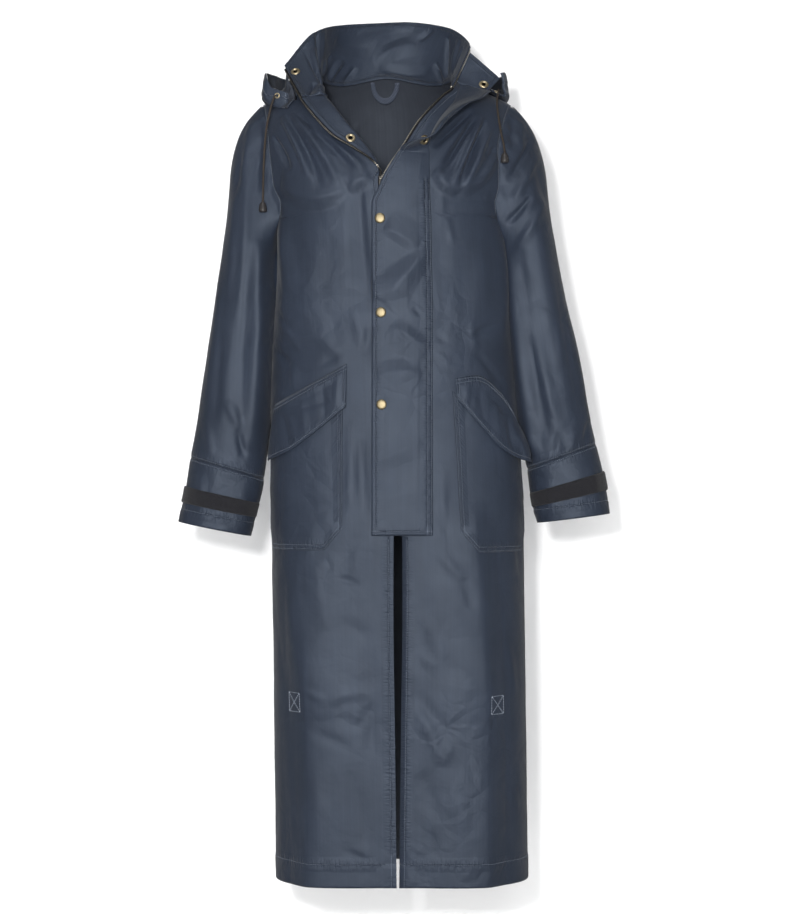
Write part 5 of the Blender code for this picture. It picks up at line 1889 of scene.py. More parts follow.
@dataclass
class StormFlap(ClothPiece):
    """The flap over the zip, its upper end turned out as a wing."""

    collar: Collar = None
    lie: float = 0.0016
    stand: float = 0.0042
    neck_level: float = 0.88
    wing_lift: float = 0.0022
    blend_from: float = 0.1
    blend_to: float = 0.284
    ribs: SizeTable = SizeTable(
        "level attach across forward rise loose bulge",
        (-0.477, 0.0507, -0.0887, 0, 0, 0, 0), (-0.159, 0.0507, -0.0884, 0, 0, 0, 0),
        (-0.02, 0.0485, -0.0866, 0, 0, 0, 0), (0.07, 0.0476, -0.0855, 0, 0, 0, 0),
        (0.14, 0.047, -0.0765, 0, 0, 0, 0), (0.209, 0.0465, -0.0683, 0, 0, 0, 0),
        (0.284, 0.046, -0.0562, 0, 0, 0, 0), (0.35, 0.0456, -0.046, 0, 0, 0.15, 0),
        (0.41, 0.0452, -0.039, -0.02, 0, 1, 0.001), (0.446, 0.0462, -0.021, -0.045, -0.0015, 1, 0),
        (0.49, 0.0485, -0.0005, -0.042, -0.007, 1, 0.01), (0.587, 0.0577, 0.014, -0.029, 0.0015, 1, 0.018),
        (0.687, 0.0695, 0.033, -0.021, 0.009, 1, 0.012), (0.88, 0.089, 0.044, -0.012, -0.005, 1, 0.003),
        (1.87, 0.09, 0.0435, -0.01, -0.041, 1, 0.002),
    )
    coarse: tuple[float, ...] = (
        0.0, 0.07, 0.14, 0.209, 0.284, 0.35, 0.38, 0.41, 0.446, 0.49, 0.535, 0.587,
        0.687, 0.78, 0.88, 1.2, 1.5, 1.87,
    )
    creases: tuple[Crease, ...] = folds(
        (-20.5, -241.5, 29, -272, 3.6, 28, 13, 2), (46, -274, -22, -354, 6.6, 34, 34, -2, 0.3),
        (-10, -385, 44, -423, 4.2, 14, 28, 2), (-34, -462, 36, -457, 4.6, 18, 36, 7),
        (22, -360, 34, -370, -1.6, 4, 5), (12, -300, 16, -420, 1, 14, 12),
        (-40, -590, 36, -556, 2.2, 22, 18, 3), (-34, -640, 40, -625, 1.2, 16, 16, 2),
    )

    def __post_init__(self) -> None:
        """Works out the grid."""
        self.levels = joined(
            mixed(-0.477, 0, 180), mixed(0, 0.41, 44), mixed(0.41, 0.88, 52), mixed(0.88, 1.87, 30)
        )
        self.wall = 0.0012
        self.cut("storm_flap", 40, len(self.levels) - 1, -1, (0.095, 0.78), 0.058)
        self.edges = (
            EdgeWork(Edge.START, seams=(0.0022, 0.0085), roll=0.001, stop=0.62,
                     pucker=0.0008, spacing=0.0024, reach=0.015, slant=0.55),
            EdgeWork(Edge.END, seams=(0.0065,), roll=0.0003, groove=0.0004,
                     pucker=0.0006, spacing=0.0026, reach=0.008, slant=0.4),
            EdgeWork(Edge.FOOT, seams=(0.0065,), roll=0.001, pucker=0.0006),
            EdgeWork(Edge.HEAD, seams=(0.006,), roll=0.001),
        )

    def free(self, share: Array, level: Array) -> tuple[Array, Array]:
        """Form of the flap where it leaves the front, and how it lies on it.

        Args:
            share: share of the flap's width.
            level: levels of the points.

        Returns:
            The points of both.
        """
        read = self.ribs.read
        attach, across, loose = (read(name, level) for name in ("attach", "across", "loose"))
        lean = self.form.sections.read("lean", np.minimum(level, 1.0))
        low = np.minimum(level, 0.999)
        angle = self.form.angle_of(attach - lean, low)
        seam = self.form.skin(Face.FRONT, angle, low, self.lie)
        point, out, normal = self.collar.edge_of(Side.RIGHT, np.clip(level - 1.0, 0.05, 1.0))
        high = point - out * 0.002 + normal * self.wing_lift
        seam = np.where((level > self.neck_level)[..., None], high, seam)
        way = np.stack([across, read("forward", level), read("rise", level)], -1)
        free = seam + share[..., None] * way
        free[..., 1] -= read("bulge", level) * np.sin(math.pi * share)
        angle = self.form.angle_of(attach + across * share - lean, low)
        lift = self.lie + (self.stand - self.lie) * np.minimum(share * 4, 1.0)
        lying = self.form.skin(Face.FRONT, angle, low, lift)
        return free, lying + (free - lying) * loose[..., None]

    def place(self, column: Array, row: Array) -> Array:
        """Form of the flap.

        Args:
            column: columns of the grid's points.
            row: rows of the grid's points.

        Returns:
            The points.
        """
        level = self.level_of(row)
        share = column / self.columns
        _, low = self.free(share, np.minimum(level, self.blend_to))
        keys = np.array(self.coarse)
        fine, coarse_level = np.meshgrid(share[0], keys)
        free, lying = self.free(fine, coarse_level)
        loose = self.ribs.read("loose", coarse_level)[..., None]
        rows = np.where(loose >= 1.0, free, lying)
        high = along_rows(keys, rows, np.maximum(level[:, 0], 0.0))
        blend = np.clip((level - self.blend_from) / (self.blend_to - self.blend_from), 0, 1)[..., None]
        return low + (high - low) * blend * blend * (3 - 2 * blend)

    def relief(self, column: Array, row: Array) -> Array:
        """Creases of the flap.

        Args:
            column: columns of the grid's points.
            row: rows of the grid's points.

        Returns:
            The lift.
        """
        points = self.place(column, row)
        x, z = points[..., 0], points[..., 2]
        lower = np.clip((-0.2 - z) / 0.03, 0, 1)
        return lifted(self.creases, x, z) * lower + 0.7 * lifted(self.form.crumples, x + 2, z)


@dataclass
class PatchPocket(ClothPiece):
    """A patch pocket with a cut-off lower corner."""

    inner: float = 0.23
    outer: float = 0.905
    chamfer: float = 0.098
    bottom: float = -0.5025
    corner: float = -0.472
    mouth_inner: float = -0.262
    mouth_outer: float = -0.345
    bulge: float = 0.0036
    lie: float = 0.0017

    def __post_init__(self) -> None:
        """Works out the grid."""
        self.cut("pocket_" + self.side.word, 54, 64, self.side.value, (0.19, 0.225), 0.034)
        work = dict(seams=(0.0022, 0.008), roll=0.0014, pucker=0.001, spacing=0.0026, reach=0.012)
        self.edges = tuple(EdgeWork(edge, **work) for edge in (Edge.START, Edge.END, Edge.FOOT))

    def place(self, column: Array, row: Array) -> Array:
        """Form of the pocket.

        Args:
            column: columns of the grid's points.
            row: rows of the grid's points.

        Returns:
            The points.
        """
        run = column / self.columns
        share = self.inner + (self.outer - self.inner) * run
        cut = self.chamfer / (self.outer - self.inner)
        near = np.minimum(np.minimum(run, 1 - run) / cut, 1.0)
        low = self.corner + (self.bottom - self.corner) * near
        mouth = self.mouth_inner + (self.mouth_outer - self.mouth_inner) * run
        up = row / self.rows
        level = low + (mouth - low) * up
        start = self.form.edge_angle(self.side, level)
        angle = start + share * (self.form.side_angle(self.side, level) - start)
        lift = self.lie + self.bulge * bump(2 * run - 1) * np.minimum(up * 2.5, 1.0)
        return self.form.skin(Face.FRONT, angle, level, lift)


@dataclass
class PocketFlap(ClothPiece):
    """A slanting flap over a pocket's mouth."""

    lie: float = 0.0019
    sizes: SizeTable = None
    creases: tuple[Crease, ...] = ()

    def __post_init__(self) -> None:
        """Works out the grid."""
        self.cut("pocket_flap_" + self.side.word, 60, 36, -self.side.value, (0.13, 0.095), 0.0105)
        self.edges = (
            EdgeWork(Edge.FOOT, seams=(0.003, 0.0085), roll=0.001,
                     pucker=0.0011, spacing=0.0024, reach=0.012),
            EdgeWork(Edge.HEAD, seams=(0.0055,), roll=0.001, pucker=0.0008, spacing=0.0026, reach=0.008),
            EdgeWork(Edge.START, seams=(0.0055,), roll=0.0008),
            EdgeWork(Edge.END, roll=0.0008),
        )

    def place(self, column: Array, row: Array) -> Array:
        """Form of the flap.

        Args:
            column: columns of the grid's points.
            row: rows of the grid's points.

        Returns:
            The points.
        """
        share, drop = column / self.columns, row / self.rows
        read = self.sizes.read
        x = read("x_sewn", share) + (read("x_free", share) - read("x_sewn", share)) * drop
        z = read("z_sewn", share) + (read("z_free", share) - read("z_sewn", share)) * drop
        angle, level = self.form.spot(x, z)
        lift = self.lie + (read("stand", share) - self.lie) * np.sin(QUARTER * drop) ** 0.8
        points = self.form.skin(Face.FRONT, angle, level, lift)
        points[..., 1] -= read("forward", share) * np.minimum(drop + 0.4, 1.0)
        return points

    def relief(self, column: Array, row: Array) -> Array:
        """Creases of the flap.

        Args:
            column: columns of the grid's points.
            row: rows of the grid's points.

        Returns:
            The lift.
        """
        points = self.place(column, row)
        x, z = points[..., 0], points[..., 2]
        return lifted(self.creases, x, z) + 0.6 * lifted(self.form.crumples, x + 4, z)


@dataclass
class HangerLoop(ClothPiece):
    """The hanger loop inside the nape."""

    half_span: float = 0.0225
    sag: float = 0.031
    width: float = 0.0068
    middle: tuple[float, float] = (-0.02, -0.003)
    lift: float = 0.004
    bulge: float = 0.002

    def __post_init__(self) -> None:
        """Works out the grid."""
        self.slot = "dark_zip_tape"
        self.cut("hanger_loop", 40, 4, 1, (0.085, 0.01), 0.00066, "tape")

    def place(self, column: Array, row: Array) -> Array:
        """Form of the loop.

        Args:
            column: columns of the grid's points.
            row: rows of the grid's points.

        Returns:
            The points.
        """
        turn = math.pi * column / self.columns
        scale = 1 - row / self.rows * self.width / self.half_span
        x = self.middle[0] - self.half_span * scale * np.cos(turn)
        z = self.middle[1] - self.sag * scale * np.sin(turn)
        angle, level = self.form.spot(x, z)
        return self.form.skin(Face.BACK, angle, level, -self.lift - self.bulge * np.sin(turn))


@dataclass
class Hood(ClothPiece):
    """The hood, folded down as an open pouch round the neck."""

    near: tuple[Thing, ...] = ()
    first: float = 0.09
    last: float = 0.9
    clearance: float = 0.0022
    sizes: SizeTable = SizeTable(
        "share turn start drop reach rim_out rim_up",
        (0, 0, 0.022, 0.04, 0.048, 0.046, -0.024), (0.05, 8, 0.021, 0.044, 0.068, 0.066, -0.022),
        (0.1, 13, 0.02, 0.042, 0.084, 0.081, -0.003), (0.15, 11, 0.018, 0.04, 0.086, 0.083, 0.0085),
        (0.22, 6, 0.014, 0.044, 0.088, 0.084, 0.014), (0.36, 0, 0.005, 0.13, 0.108, 0.088, 0.01),
        (0.54, 0, 0.004, 0.215, 0.118, 0.09, -0.004), (0.72, 0, 0.004, 0.13, 0.108, 0.086, 0.002),
        (0.88, 0, 0.005, 0.039, 0.09, 0.085, 0.012), (1, -6, 0.007, 0.031, 0.074, 0.071, 0.009),
    )
    section: tuple[tuple[float, float], ...] = (
        (0.28, 0.18), (0.5, 0.5), (0.7, 0.82), (0.9, 1.0), (1.03, 0.8), (1.02, 0.4),
    )
    creases: tuple[Crease, ...] = folds(
        (30, 20, 90, 110, -4.5, 12, 10, 6), (60, 10, 130, 90, 4, 14, 12, 4),
        (110, 20, 160, 160, -5, 12, 14, 8), (150, 10, 190, 120, 4, 14, 12, 4),
        (200, 60, 205, 260, -5, 16, 14, 4), (235, 20, 225, 150, 3.6, 14, 14),
        (285, 20, 250, 170, -5, 12, 14, -8), (320, 10, 290, 110, 4.2, 14, 12, -4),
        (350, 20, 310, 120, -4.4, 10, 12, -6), (380, 10, 360, 90, 3.6, 12, 10),
    )

    def __post_init__(self) -> None:
        """Works out the grid."""
        self.wall, self.held = 0.0014, "folded"
        self.cut("hood", 130, 70, -1, (0.62, 0.34), 0.13)
        self.edges = (
            EdgeWork(Edge.FOOT, roll=0.001),
            EdgeWork(Edge.HEAD, seams=(0.018,), hem=0.018, hem_rise=0.0008, roll=0.0012,
                     pucker=0.0009, spacing=0.0034, reach=0.014),
            EdgeWork(Edge.START, seams=(0.004,), roll=0.001),
            EdgeWork(Edge.END, seams=(0.004,), roll=0.001),
        )

    def control(self) -> Array:
        """The sections' own points, one row of the grid each.

        Returns:
            The rows of points.
        """
        seam = self.form.neck_line()[15:]
        lengths = run_lengths(seam)
        share = np.linspace(0, 1, self.columns + 1)
        at = (self.first + (self.last - self.first) * share) * lengths[-1]
        window = 0.04 * lengths[-1]
        before, foot, after = (along_line(at + move, lengths, seam) for move in (-window, 0, window))
        way = after - before
        turn = np.radians(self.sizes.read("turn", share)) * np.where(share < 0.5, 1, -1)
        zero, cosine, sine = np.zeros_like(at), np.cos(turn), np.sin(turn)
        flat = unit(np.stack([-way[:, 1], way[:, 0], zero], -1))
        x, y = flat[:, 0], flat[:, 1]
        out = np.stack([x * cosine - y * sine, x * sine + y * cosine, zero], -1)
        up = np.array([0.0, 0.0, 1.0])
        read = {name: self.sizes.read(name, share)[:, None] for name in self.sizes.columns}
        start, reach = read["start"], read["reach"]
        rows = [foot + out * start - up * (start * self.form.shoulder_fall)]
        for along, down in self.section:
            rows.append(foot + out * (start + along * (reach - start)) - up * (down * read["drop"]))
        rows.append(foot + out * read["rim_out"] + up * read["rim_up"])
        return np.stack(rows)

    def pushed(self, point: Vector, trees: Sequence[BVHTree]) -> Vector | None:
        """How a point must move to be clear of the other pieces, or None.

        Args:
            point: the point.
            trees: the other pieces.

        Returns:
            The move.
        """
        for tree in trees:
            location, normal, _, distance = tree.find_nearest(point, 0.05)
            if location is None:
                continue
            height = (point - location).dot(normal)
            if height < 0 or distance < self.clearance:
                return location + normal * self.clearance - point
        return None

    def off_body(self, points: Array) -> Array:
        """How points must move to lie over the body.

        Args:
            points: the points.

        Returns:
            The moves.
        """
        angle, level = self.form.spot(points[..., 0], points[..., 2])
        over = level >= 1.02
        level = np.minimum(level, 0.99)
        way = np.zeros_like(points)
        for face in Face:
            normal = self.form.outward(face, angle, level)
            depth = np.abs(self.form.skin(face, angle, level)[..., 1])
            sunk = (depth - np.abs(points[..., 1])) * np.abs(normal[..., 1])
            move = np.where(sunk > -self.clearance, sunk + self.clearance, 0)
            here = (points[..., 1] < 0) if face is Face.FRONT else (points[..., 1] >= 0)
            way += np.where((here & ~over)[..., None], normal * move[..., None], 0)
        return way

    def place(self, column: Array, row: Array) -> Array:
        """Form of the hood, pushed clear of the body, collar and flap.

        Args:
            column: columns of the grid's points.
            row: rows of the grid's points.

        Returns:
            The points.
        """
        control = self.control()
        keys = run_lengths(control.mean(1))
        points = along_rows(keys / keys[-1], control, np.linspace(0, 1, self.rows + 1))
        across, down = run_lengths(points, 1), run_lengths(points, 0)
        rise = lifted(self.creases, across, down) + 1.6 * lifted(self.form.crumples, across + 5, down)
        points = points + self.facing(points) * (rise * np.clip(down / 0.02, 0, 1))[..., None]
        graph = bpy.context.evaluated_depsgraph_get()
        trees = [BVHTree.FromObject(thing, graph) for thing in self.near]
        for _ in range(8):
            way = self.off_body(points)
            for index in np.ndindex(points.shape[:2]):
                move = self.pushed(Vector(points[index]), trees)
                if move:
                    way[index] += move
            for _ in range(2):
                spread = way.copy()
                spread[1:-1] = (way[:-2] + 2 * way[1:-1] + way[2:]) / 4
                spread[:, 1:-1] = (spread[:, :-2] + 2 * spread[:, 1:-1] + spread[:, 2:]) / 4
                way = np.where(np.abs(spread) > np.abs(way), spread, way)
            points = points + way
        return points


@dataclass
class ZipHalf(ClothPiece):
    """One half of the zip's tape, along a front edge and on up the collar's."""

    collar: Collar = None
    foot_level: float = -0.4
    gap: float = -0.0004
    width: float = 0.0038
    pitch: float = 0.0029
    tooth: tuple[float, float, float] = (0.0017, 0.0013, 0.0022)

    def __post_init__(self) -> None:
        """Works out the grid."""
        self.slot, self.wall = "dark_zip_tape", 0.0007
        front = np.linspace(self.foot_level, self.form.neck_top(self.side), 260)
        self.levels = np.concatenate([front, np.linspace(1.05, 1.94, 40)])
        word, rows = self.side.word, len(self.levels) - 1
        self.cut("zip_" + word, 2, rows, -self.side.value, (0.012, 0.72), 0.0031, "tape")

    def reached(self, reach: Array, level: Array) -> Array:
        """Points at a reach from the edge of the cloth.

        Args:
            reach: distances from the edge.
            level: levels of the points.

        Returns:
            The points.
        """
        low = np.minimum(level, self.form.neck_top(self.side))
        if self.side is Side.LEFT:
            start = self.form.turned_out.read("width", low)
            points = self.form.lapel(start + reach, low)
        else:
            start = self.form.edge_angle(Side.RIGHT, low)
            edge = self.form.skin(Face.FRONT, start, low)
            inner = self.form.skin(Face.FRONT, start - 0.02, low)
            points = edge + unit(inner - edge) * reach[..., None]
        at, out, _ = self.collar.edge_of(self.side, np.clip(level - 1, 0, 1))
        return np.where((level > 1)[..., None], at + out * reach[..., None], points)

    def place(self, column: Array, row: Array) -> Array:
        """Form of the tape."""
        level = self.level_of(row)
        return self.reached(self.gap + column / self.columns * self.width, level)

    def teeth(self, finish: Finish) -> Thing:
        """Makes the row of teeth along the tape's free edge.

        Args:
            finish: its finish.

        Returns:
            Their object.
        """
        line, normals = self.points[:, -1], self.normals[:, -1]
        aside = unit(line - self.points[:, -2])
        lengths = run_lengths(line)
        at = (np.arange(int(lengths[-1] / self.pitch)) + 0.5) * self.pitch
        run = unit(np.gradient(line, axis=0))
        wide, long, high = self.tooth
        places = []
        found = (along_line(at, lengths, values) for values in (line, run, aside, normals))
        for where, along, side, up in zip(*found):
            seat = where - side * wide * 0.2 - up * 0.0003
            places.append(posed(seat, side * wide, along * long, up * high))
        one = bmesh.new()
        bmesh.ops.create_cube(one, size=1)
        builder = repeated(one, places)
        thing = finished_object(self.name.replace("tape", "teeth"), builder, finish, "dark_metal")
        for facet in thing.data.polygons:
            facet.use_smooth = False
        return thing


@dataclass(frozen=True)
class TurnedPiece:
    """A round piece, its profile of radius and height spun about its axis."""

    profile: tuple[tuple[float, float], ...]
    slot: str
    steps: int = 48

    def build(self, name: str, seat: Vector, axis: Vector, finish: Finish, nodes: Sequence[str]) -> Thing:
        """Makes the piece.

        Args:
            name: name of the object.
            seat: where its foot stands.
            axis: the way its axis points.
            finish: its finish.
            nodes: the CAD nodes it stands for.

        Returns:
            The object.
        """
        builder = bmesh.new()
        points = [builder.verts.new((radius, 0, height)) for radius, height in self.profile]
        lines = [builder.edges.new(pair) for pair in zip(points, points[1:])]
        if self.profile[0][0] > 0:
            lines.append(builder.edges.new((points[-1], points[0])))
        bmesh.ops.spin(
            builder, geom=points + lines, axis=(0, 0, 1), angle=2 * math.pi,
            steps=self.steps, use_merge=True,
        )
        bmesh.ops.remove_doubles(builder, verts=builder.verts, dist=MERGE)
        bmesh.ops.recalc_face_normals(builder, faces=builder.faces)
        turn = Vector((0, 0, 1)).rotation_difference(axis).to_matrix().to_4x4()
        bmesh.ops.transform(builder, matrix=Matrix.Translation(seat) @ turn, verts=builder.verts)
        return finished_object(name, builder, finish, self.slot, nodes)


@dataclass(frozen=True)
class Stud:
    """Where a press stud's cap or ring is seated, straight ahead of the cloth."""

    node: str
    on: str
    x: float
    z: float
    behind: str = ""


@dataclass(frozen=True)
class PressStuds:
    """The press studs: caps on the flap, rings on the lapel, the collar and the wing."""

    rim: float = 0.006
    cloth: float = 0.0012
    cap: TurnedPiece = TurnedPiece(
        ((0.0, 0.0), (0.007, 0.0), (0.0075, 0.0004), (0.0075, 0.001), (0.0072, 0.0015),
         (0.0065, 0.0019), (0.005, 0.0022), (0.003, 0.0024), (0.0, 0.0025)),
        "satin_brass",
    )
    ring: TurnedPiece = TurnedPiece(
        ((0.003, 0.0), (0.0068, 0.0), (0.0072, 0.0003), (0.0071, 0.0009), (0.0064, 0.0017),
         (0.0053, 0.0021), (0.0042, 0.002), (0.0036, 0.0013), (0.0031, 0.0011)),
        "satin_brass",
    )
    # the near-black disc in a ring's hole, painted shade of the hollow
    socket: TurnedPiece = TurnedPiece(
        ((0.0, 0.0), (0.0036, 0.0), (0.0036, 0.0006), (0.0, 0.0006)), "dark_metal"
    )
    studs: tuple[Stud, ...] = (
        Stud("snap_cap_1", "storm_flap_cloth", -0.0261, -0.2295),
        Stud("snap_cap_2", "storm_flap_cloth", -0.0247, -0.3665),
        Stud("snap_cap_3", "storm_flap_cloth", -0.0238, -0.5),
        Stud("snap_ring_1", "collar_cloth", -0.152, -0.005),
        Stud("snap_ring_2", "front_left_cloth", -0.069, -0.1125),
        Stud("snap_ring_3", "storm_flap_cloth", 0.127, -0.024, behind="snap_cap_4"),
        Stud("snap_ring_4", "storm_flap_cloth", 0.0385, -0.117, behind="snap_cap_5"),
    )

    def build(self, finishes: Finishes) -> None:
        """Seats every cap and ring on its cloth, and a near-black disc in every ring's hole as painted
        shade.

        Args:
            finishes: the coat's finishes.
        """
        graph = bpy.context.evaluated_depsgraph_get()
        for stud in self.studs:
            tree = BVHTree.FromObject(bpy.data.objects[stud.on], graph)
            hits = []
            for aside, higher in ((0, 0), (1, 0), (-1, 0), (0, 1), (0, -1)):
                start = Vector((stud.x + aside * self.rim, -1, stud.z + higher * self.rim))
                hit, facing, _, _ = tree.ray_cast(start, Vector((0, 1, 0)))
                if hit is not None:
                    hits.append((hit, facing if facing.y < 0 else -facing))
            if not hits:
                LOG.warning("no cloth behind %s", stud.node)
                continue
            seat = hits[0][0]
            normal = sum((facing for _, facing in hits), Vector()).normalized()
            form = self.cap if "cap" in stud.node else self.ring
            # rings take the lighter brass, a painted highlight
            finish = finishes.brass if form is self.cap else finishes.ring_brass
            form.build(stud.node + "_brass", seat, normal, finish, (stud.node,))
            # painted shade: a near-black disc in every ring's hole
            if form is self.ring:
                self.socket.build(stud.node + "_hollow", seat, normal, finishes.hollow, ())
            if stud.behind:
                seat = seat - normal * self.cloth
                self.cap.build(stud.behind + "_brass", seat, -normal, finishes.brass, (stud.behind,))


@dataclass(frozen=True)
class Drawcord:
    """A free end of the hood's drawcord, with its eyelet and its bell toggle."""

    side: Side
    length: float
    stops: SizeTable
    eyelet_at: tuple[float, float, float]
    radius: float = 0.0015
    steps: int = 48
    eyelet: TurnedPiece = TurnedPiece(
        ((0.0021, 0.0), (0.0042, 0.0), (0.0043, 0.0003), (0.004, 0.0008), (0.0034, 0.0011),
         (0.0027, 0.0011), (0.0021, 0.0006)),
        "satin_brass",
    )
    toggle: TurnedPiece = TurnedPiece(
        ((0.0, 0.0), (0.0022, 0.0), (0.0027, 0.0004), (0.0032, 0.0012), (0.004, 0.0024),
         (0.0049, 0.0046), (0.0056, 0.0075), (0.006, 0.011), (0.006, 0.013),
         (0.0057, 0.0142), (0.005, 0.015), (0.0034, 0.0153), (0.0, 0.0154)),
        "dark_plastic",
    )

    def route(self) -> list[Vector]:
        """Points of the cord from its eyelet to its toggle."""
        return [Vector(point) for point in self.stops.place(np.linspace(0, 1, self.steps + 1))]

    def build(self, finishes: Finishes) -> None:
        """Makes the cord and its toggle.

        Args:
            finishes: the coat's finishes.
        """
        route = self.route()
        curve = bpy.data.curves.new("cord_" + self.side.word, "CURVE")
        curve.dimensions = "3D"
        curve.bevel_depth, curve.bevel_resolution = self.radius, 4
        curve.use_fill_caps = True
        spline = curve.splines.new("POLY")
        spline.points.add(len(route) - 1)
        for control, point in zip(spline.points, route):
            control.co = (*point, 1)
        curve.materials.append(finishes.cord.material())
        thing = placed("cord_" + self.side.word, curve)
        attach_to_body(thing, "root")
        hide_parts("drawcord_" + self.side.word)
        down = Vector((0, 0, -1))
        seat = route[-1] - down * 0.0004
        bell = self.toggle.build(
            "bell_" + self.side.word, seat, down, finishes.plastic, ("toggle_" + self.side.word,)
        )

    def set_eyelet(self, hood: Thing, finish: Finish) -> None:
        """Sets the eyelet in the hood's front corner.

        Args:
            hood: the hood.
            finish: its finish.
        """
        tree = BVHTree.FromObject(hood, bpy.context.evaluated_depsgraph_get())
        location, normal, _, _ = tree.find_nearest(Vector(self.eyelet_at))
        if (self.route()[0] - location).dot(normal) < 0:
            normal = -normal
        name = "eyelet_" + self.side.word
        self.eyelet.build(name + "_brass", location + normal * 0.0001, normal, finish, (name,))


@dataclass(frozen=True)
class Slider:
    """The zip's slider, built of blocks with rounded edges; the pull hangs in front."""

    form: CoatForm
    level: float = 0.188
    shift: float = 0.0038
    round_off: float = 0.0005
    blocks: tuple[tuple[float, float, float, float, float], ...] = (
        (0.0068, -0.0014, -0.0004, -0.0099, 0.0017), (0.001, -0.0008, 0.003, 0, 0.0015),
        (0.0068, 0.0025, 0.0035, -0.0098, 0.0016), (0.002, -0.0026, -0.0009, -0.0043, 0.0012),
        (0.0046, -0.0032, -0.0022, -0.0175, -0.0008),
    )

    def build(self, finish: Finish) -> None:
        """Makes the slider; a block is its width, nearest, farthest, bottom and top.

        Args:
            finish: its finish.
        """
        level = np.array(self.level)
        edge = self.form.edge_angle(Side.RIGHT, level)
        normal = Vector(self.form.outward(Face.FRONT, edge, level))
        aside = Vector((1, 0, 0))
        up = normal.cross(aside).normalized()
        up = up if up.z > 0 else -up
        middle = Vector(self.form.skin(Face.FRONT, edge, level)) - aside * self.shift
        place = posed(middle, aside, -normal, up)
        builder = bmesh.new()
        for width, near, far, bottom, top in self.blocks:
            size = Matrix.Diagonal((width, far - near, top - bottom, 1))
            centre = Matrix.Translation((0, (near + far) / 2, (bottom + top) / 2))
            made = bmesh.ops.create_cube(builder, size=1, matrix=place @ centre @ size)
            edges = {edge for vertex in made["verts"] for edge in vertex.link_edges}
            least = min(width, far - near, top - bottom) * 0.4
            bmesh.ops.bevel(
                builder, geom=list(edges), offset=min(self.round_off, least), segments=3,
                affect="EDGES", profile=0.5, material=-1,
            )
        finished_object("slider_metal", builder, finish, "dark_metal", ("zip_slider",))


@dataclass(frozen=True)
class CrossedBox:
    """A small stitched box with an X in it, on a front's skirt."""

    x_1: float
    z_1: float
    x_2: float
    z_2: float

    def sew(self, form: CoatForm, stitches: StitchWork) -> None:
        """Adds its stitches.

        Args:
            form: the coat's form.
            stitches: what they are added to.
        """
        corners = [
            (self.x_1, self.z_1), (self.x_2, self.z_1), (self.x_2, self.z_2),
            (self.x_1, self.z_2), (self.x_1, self.z_1), (self.x_2, self.z_2),
        ]
        lines = list(zip(corners, corners[1:])) + [(corners[1], corners[3])]
        for first, last in lines:
            angle, level = form.spot(*np.linspace(first, last, 12).T)
            points = form.skin(Face.FRONT, angle, level, 0.0002)
            stitches.run(points, form.outward(Face.FRONT, angle, level))


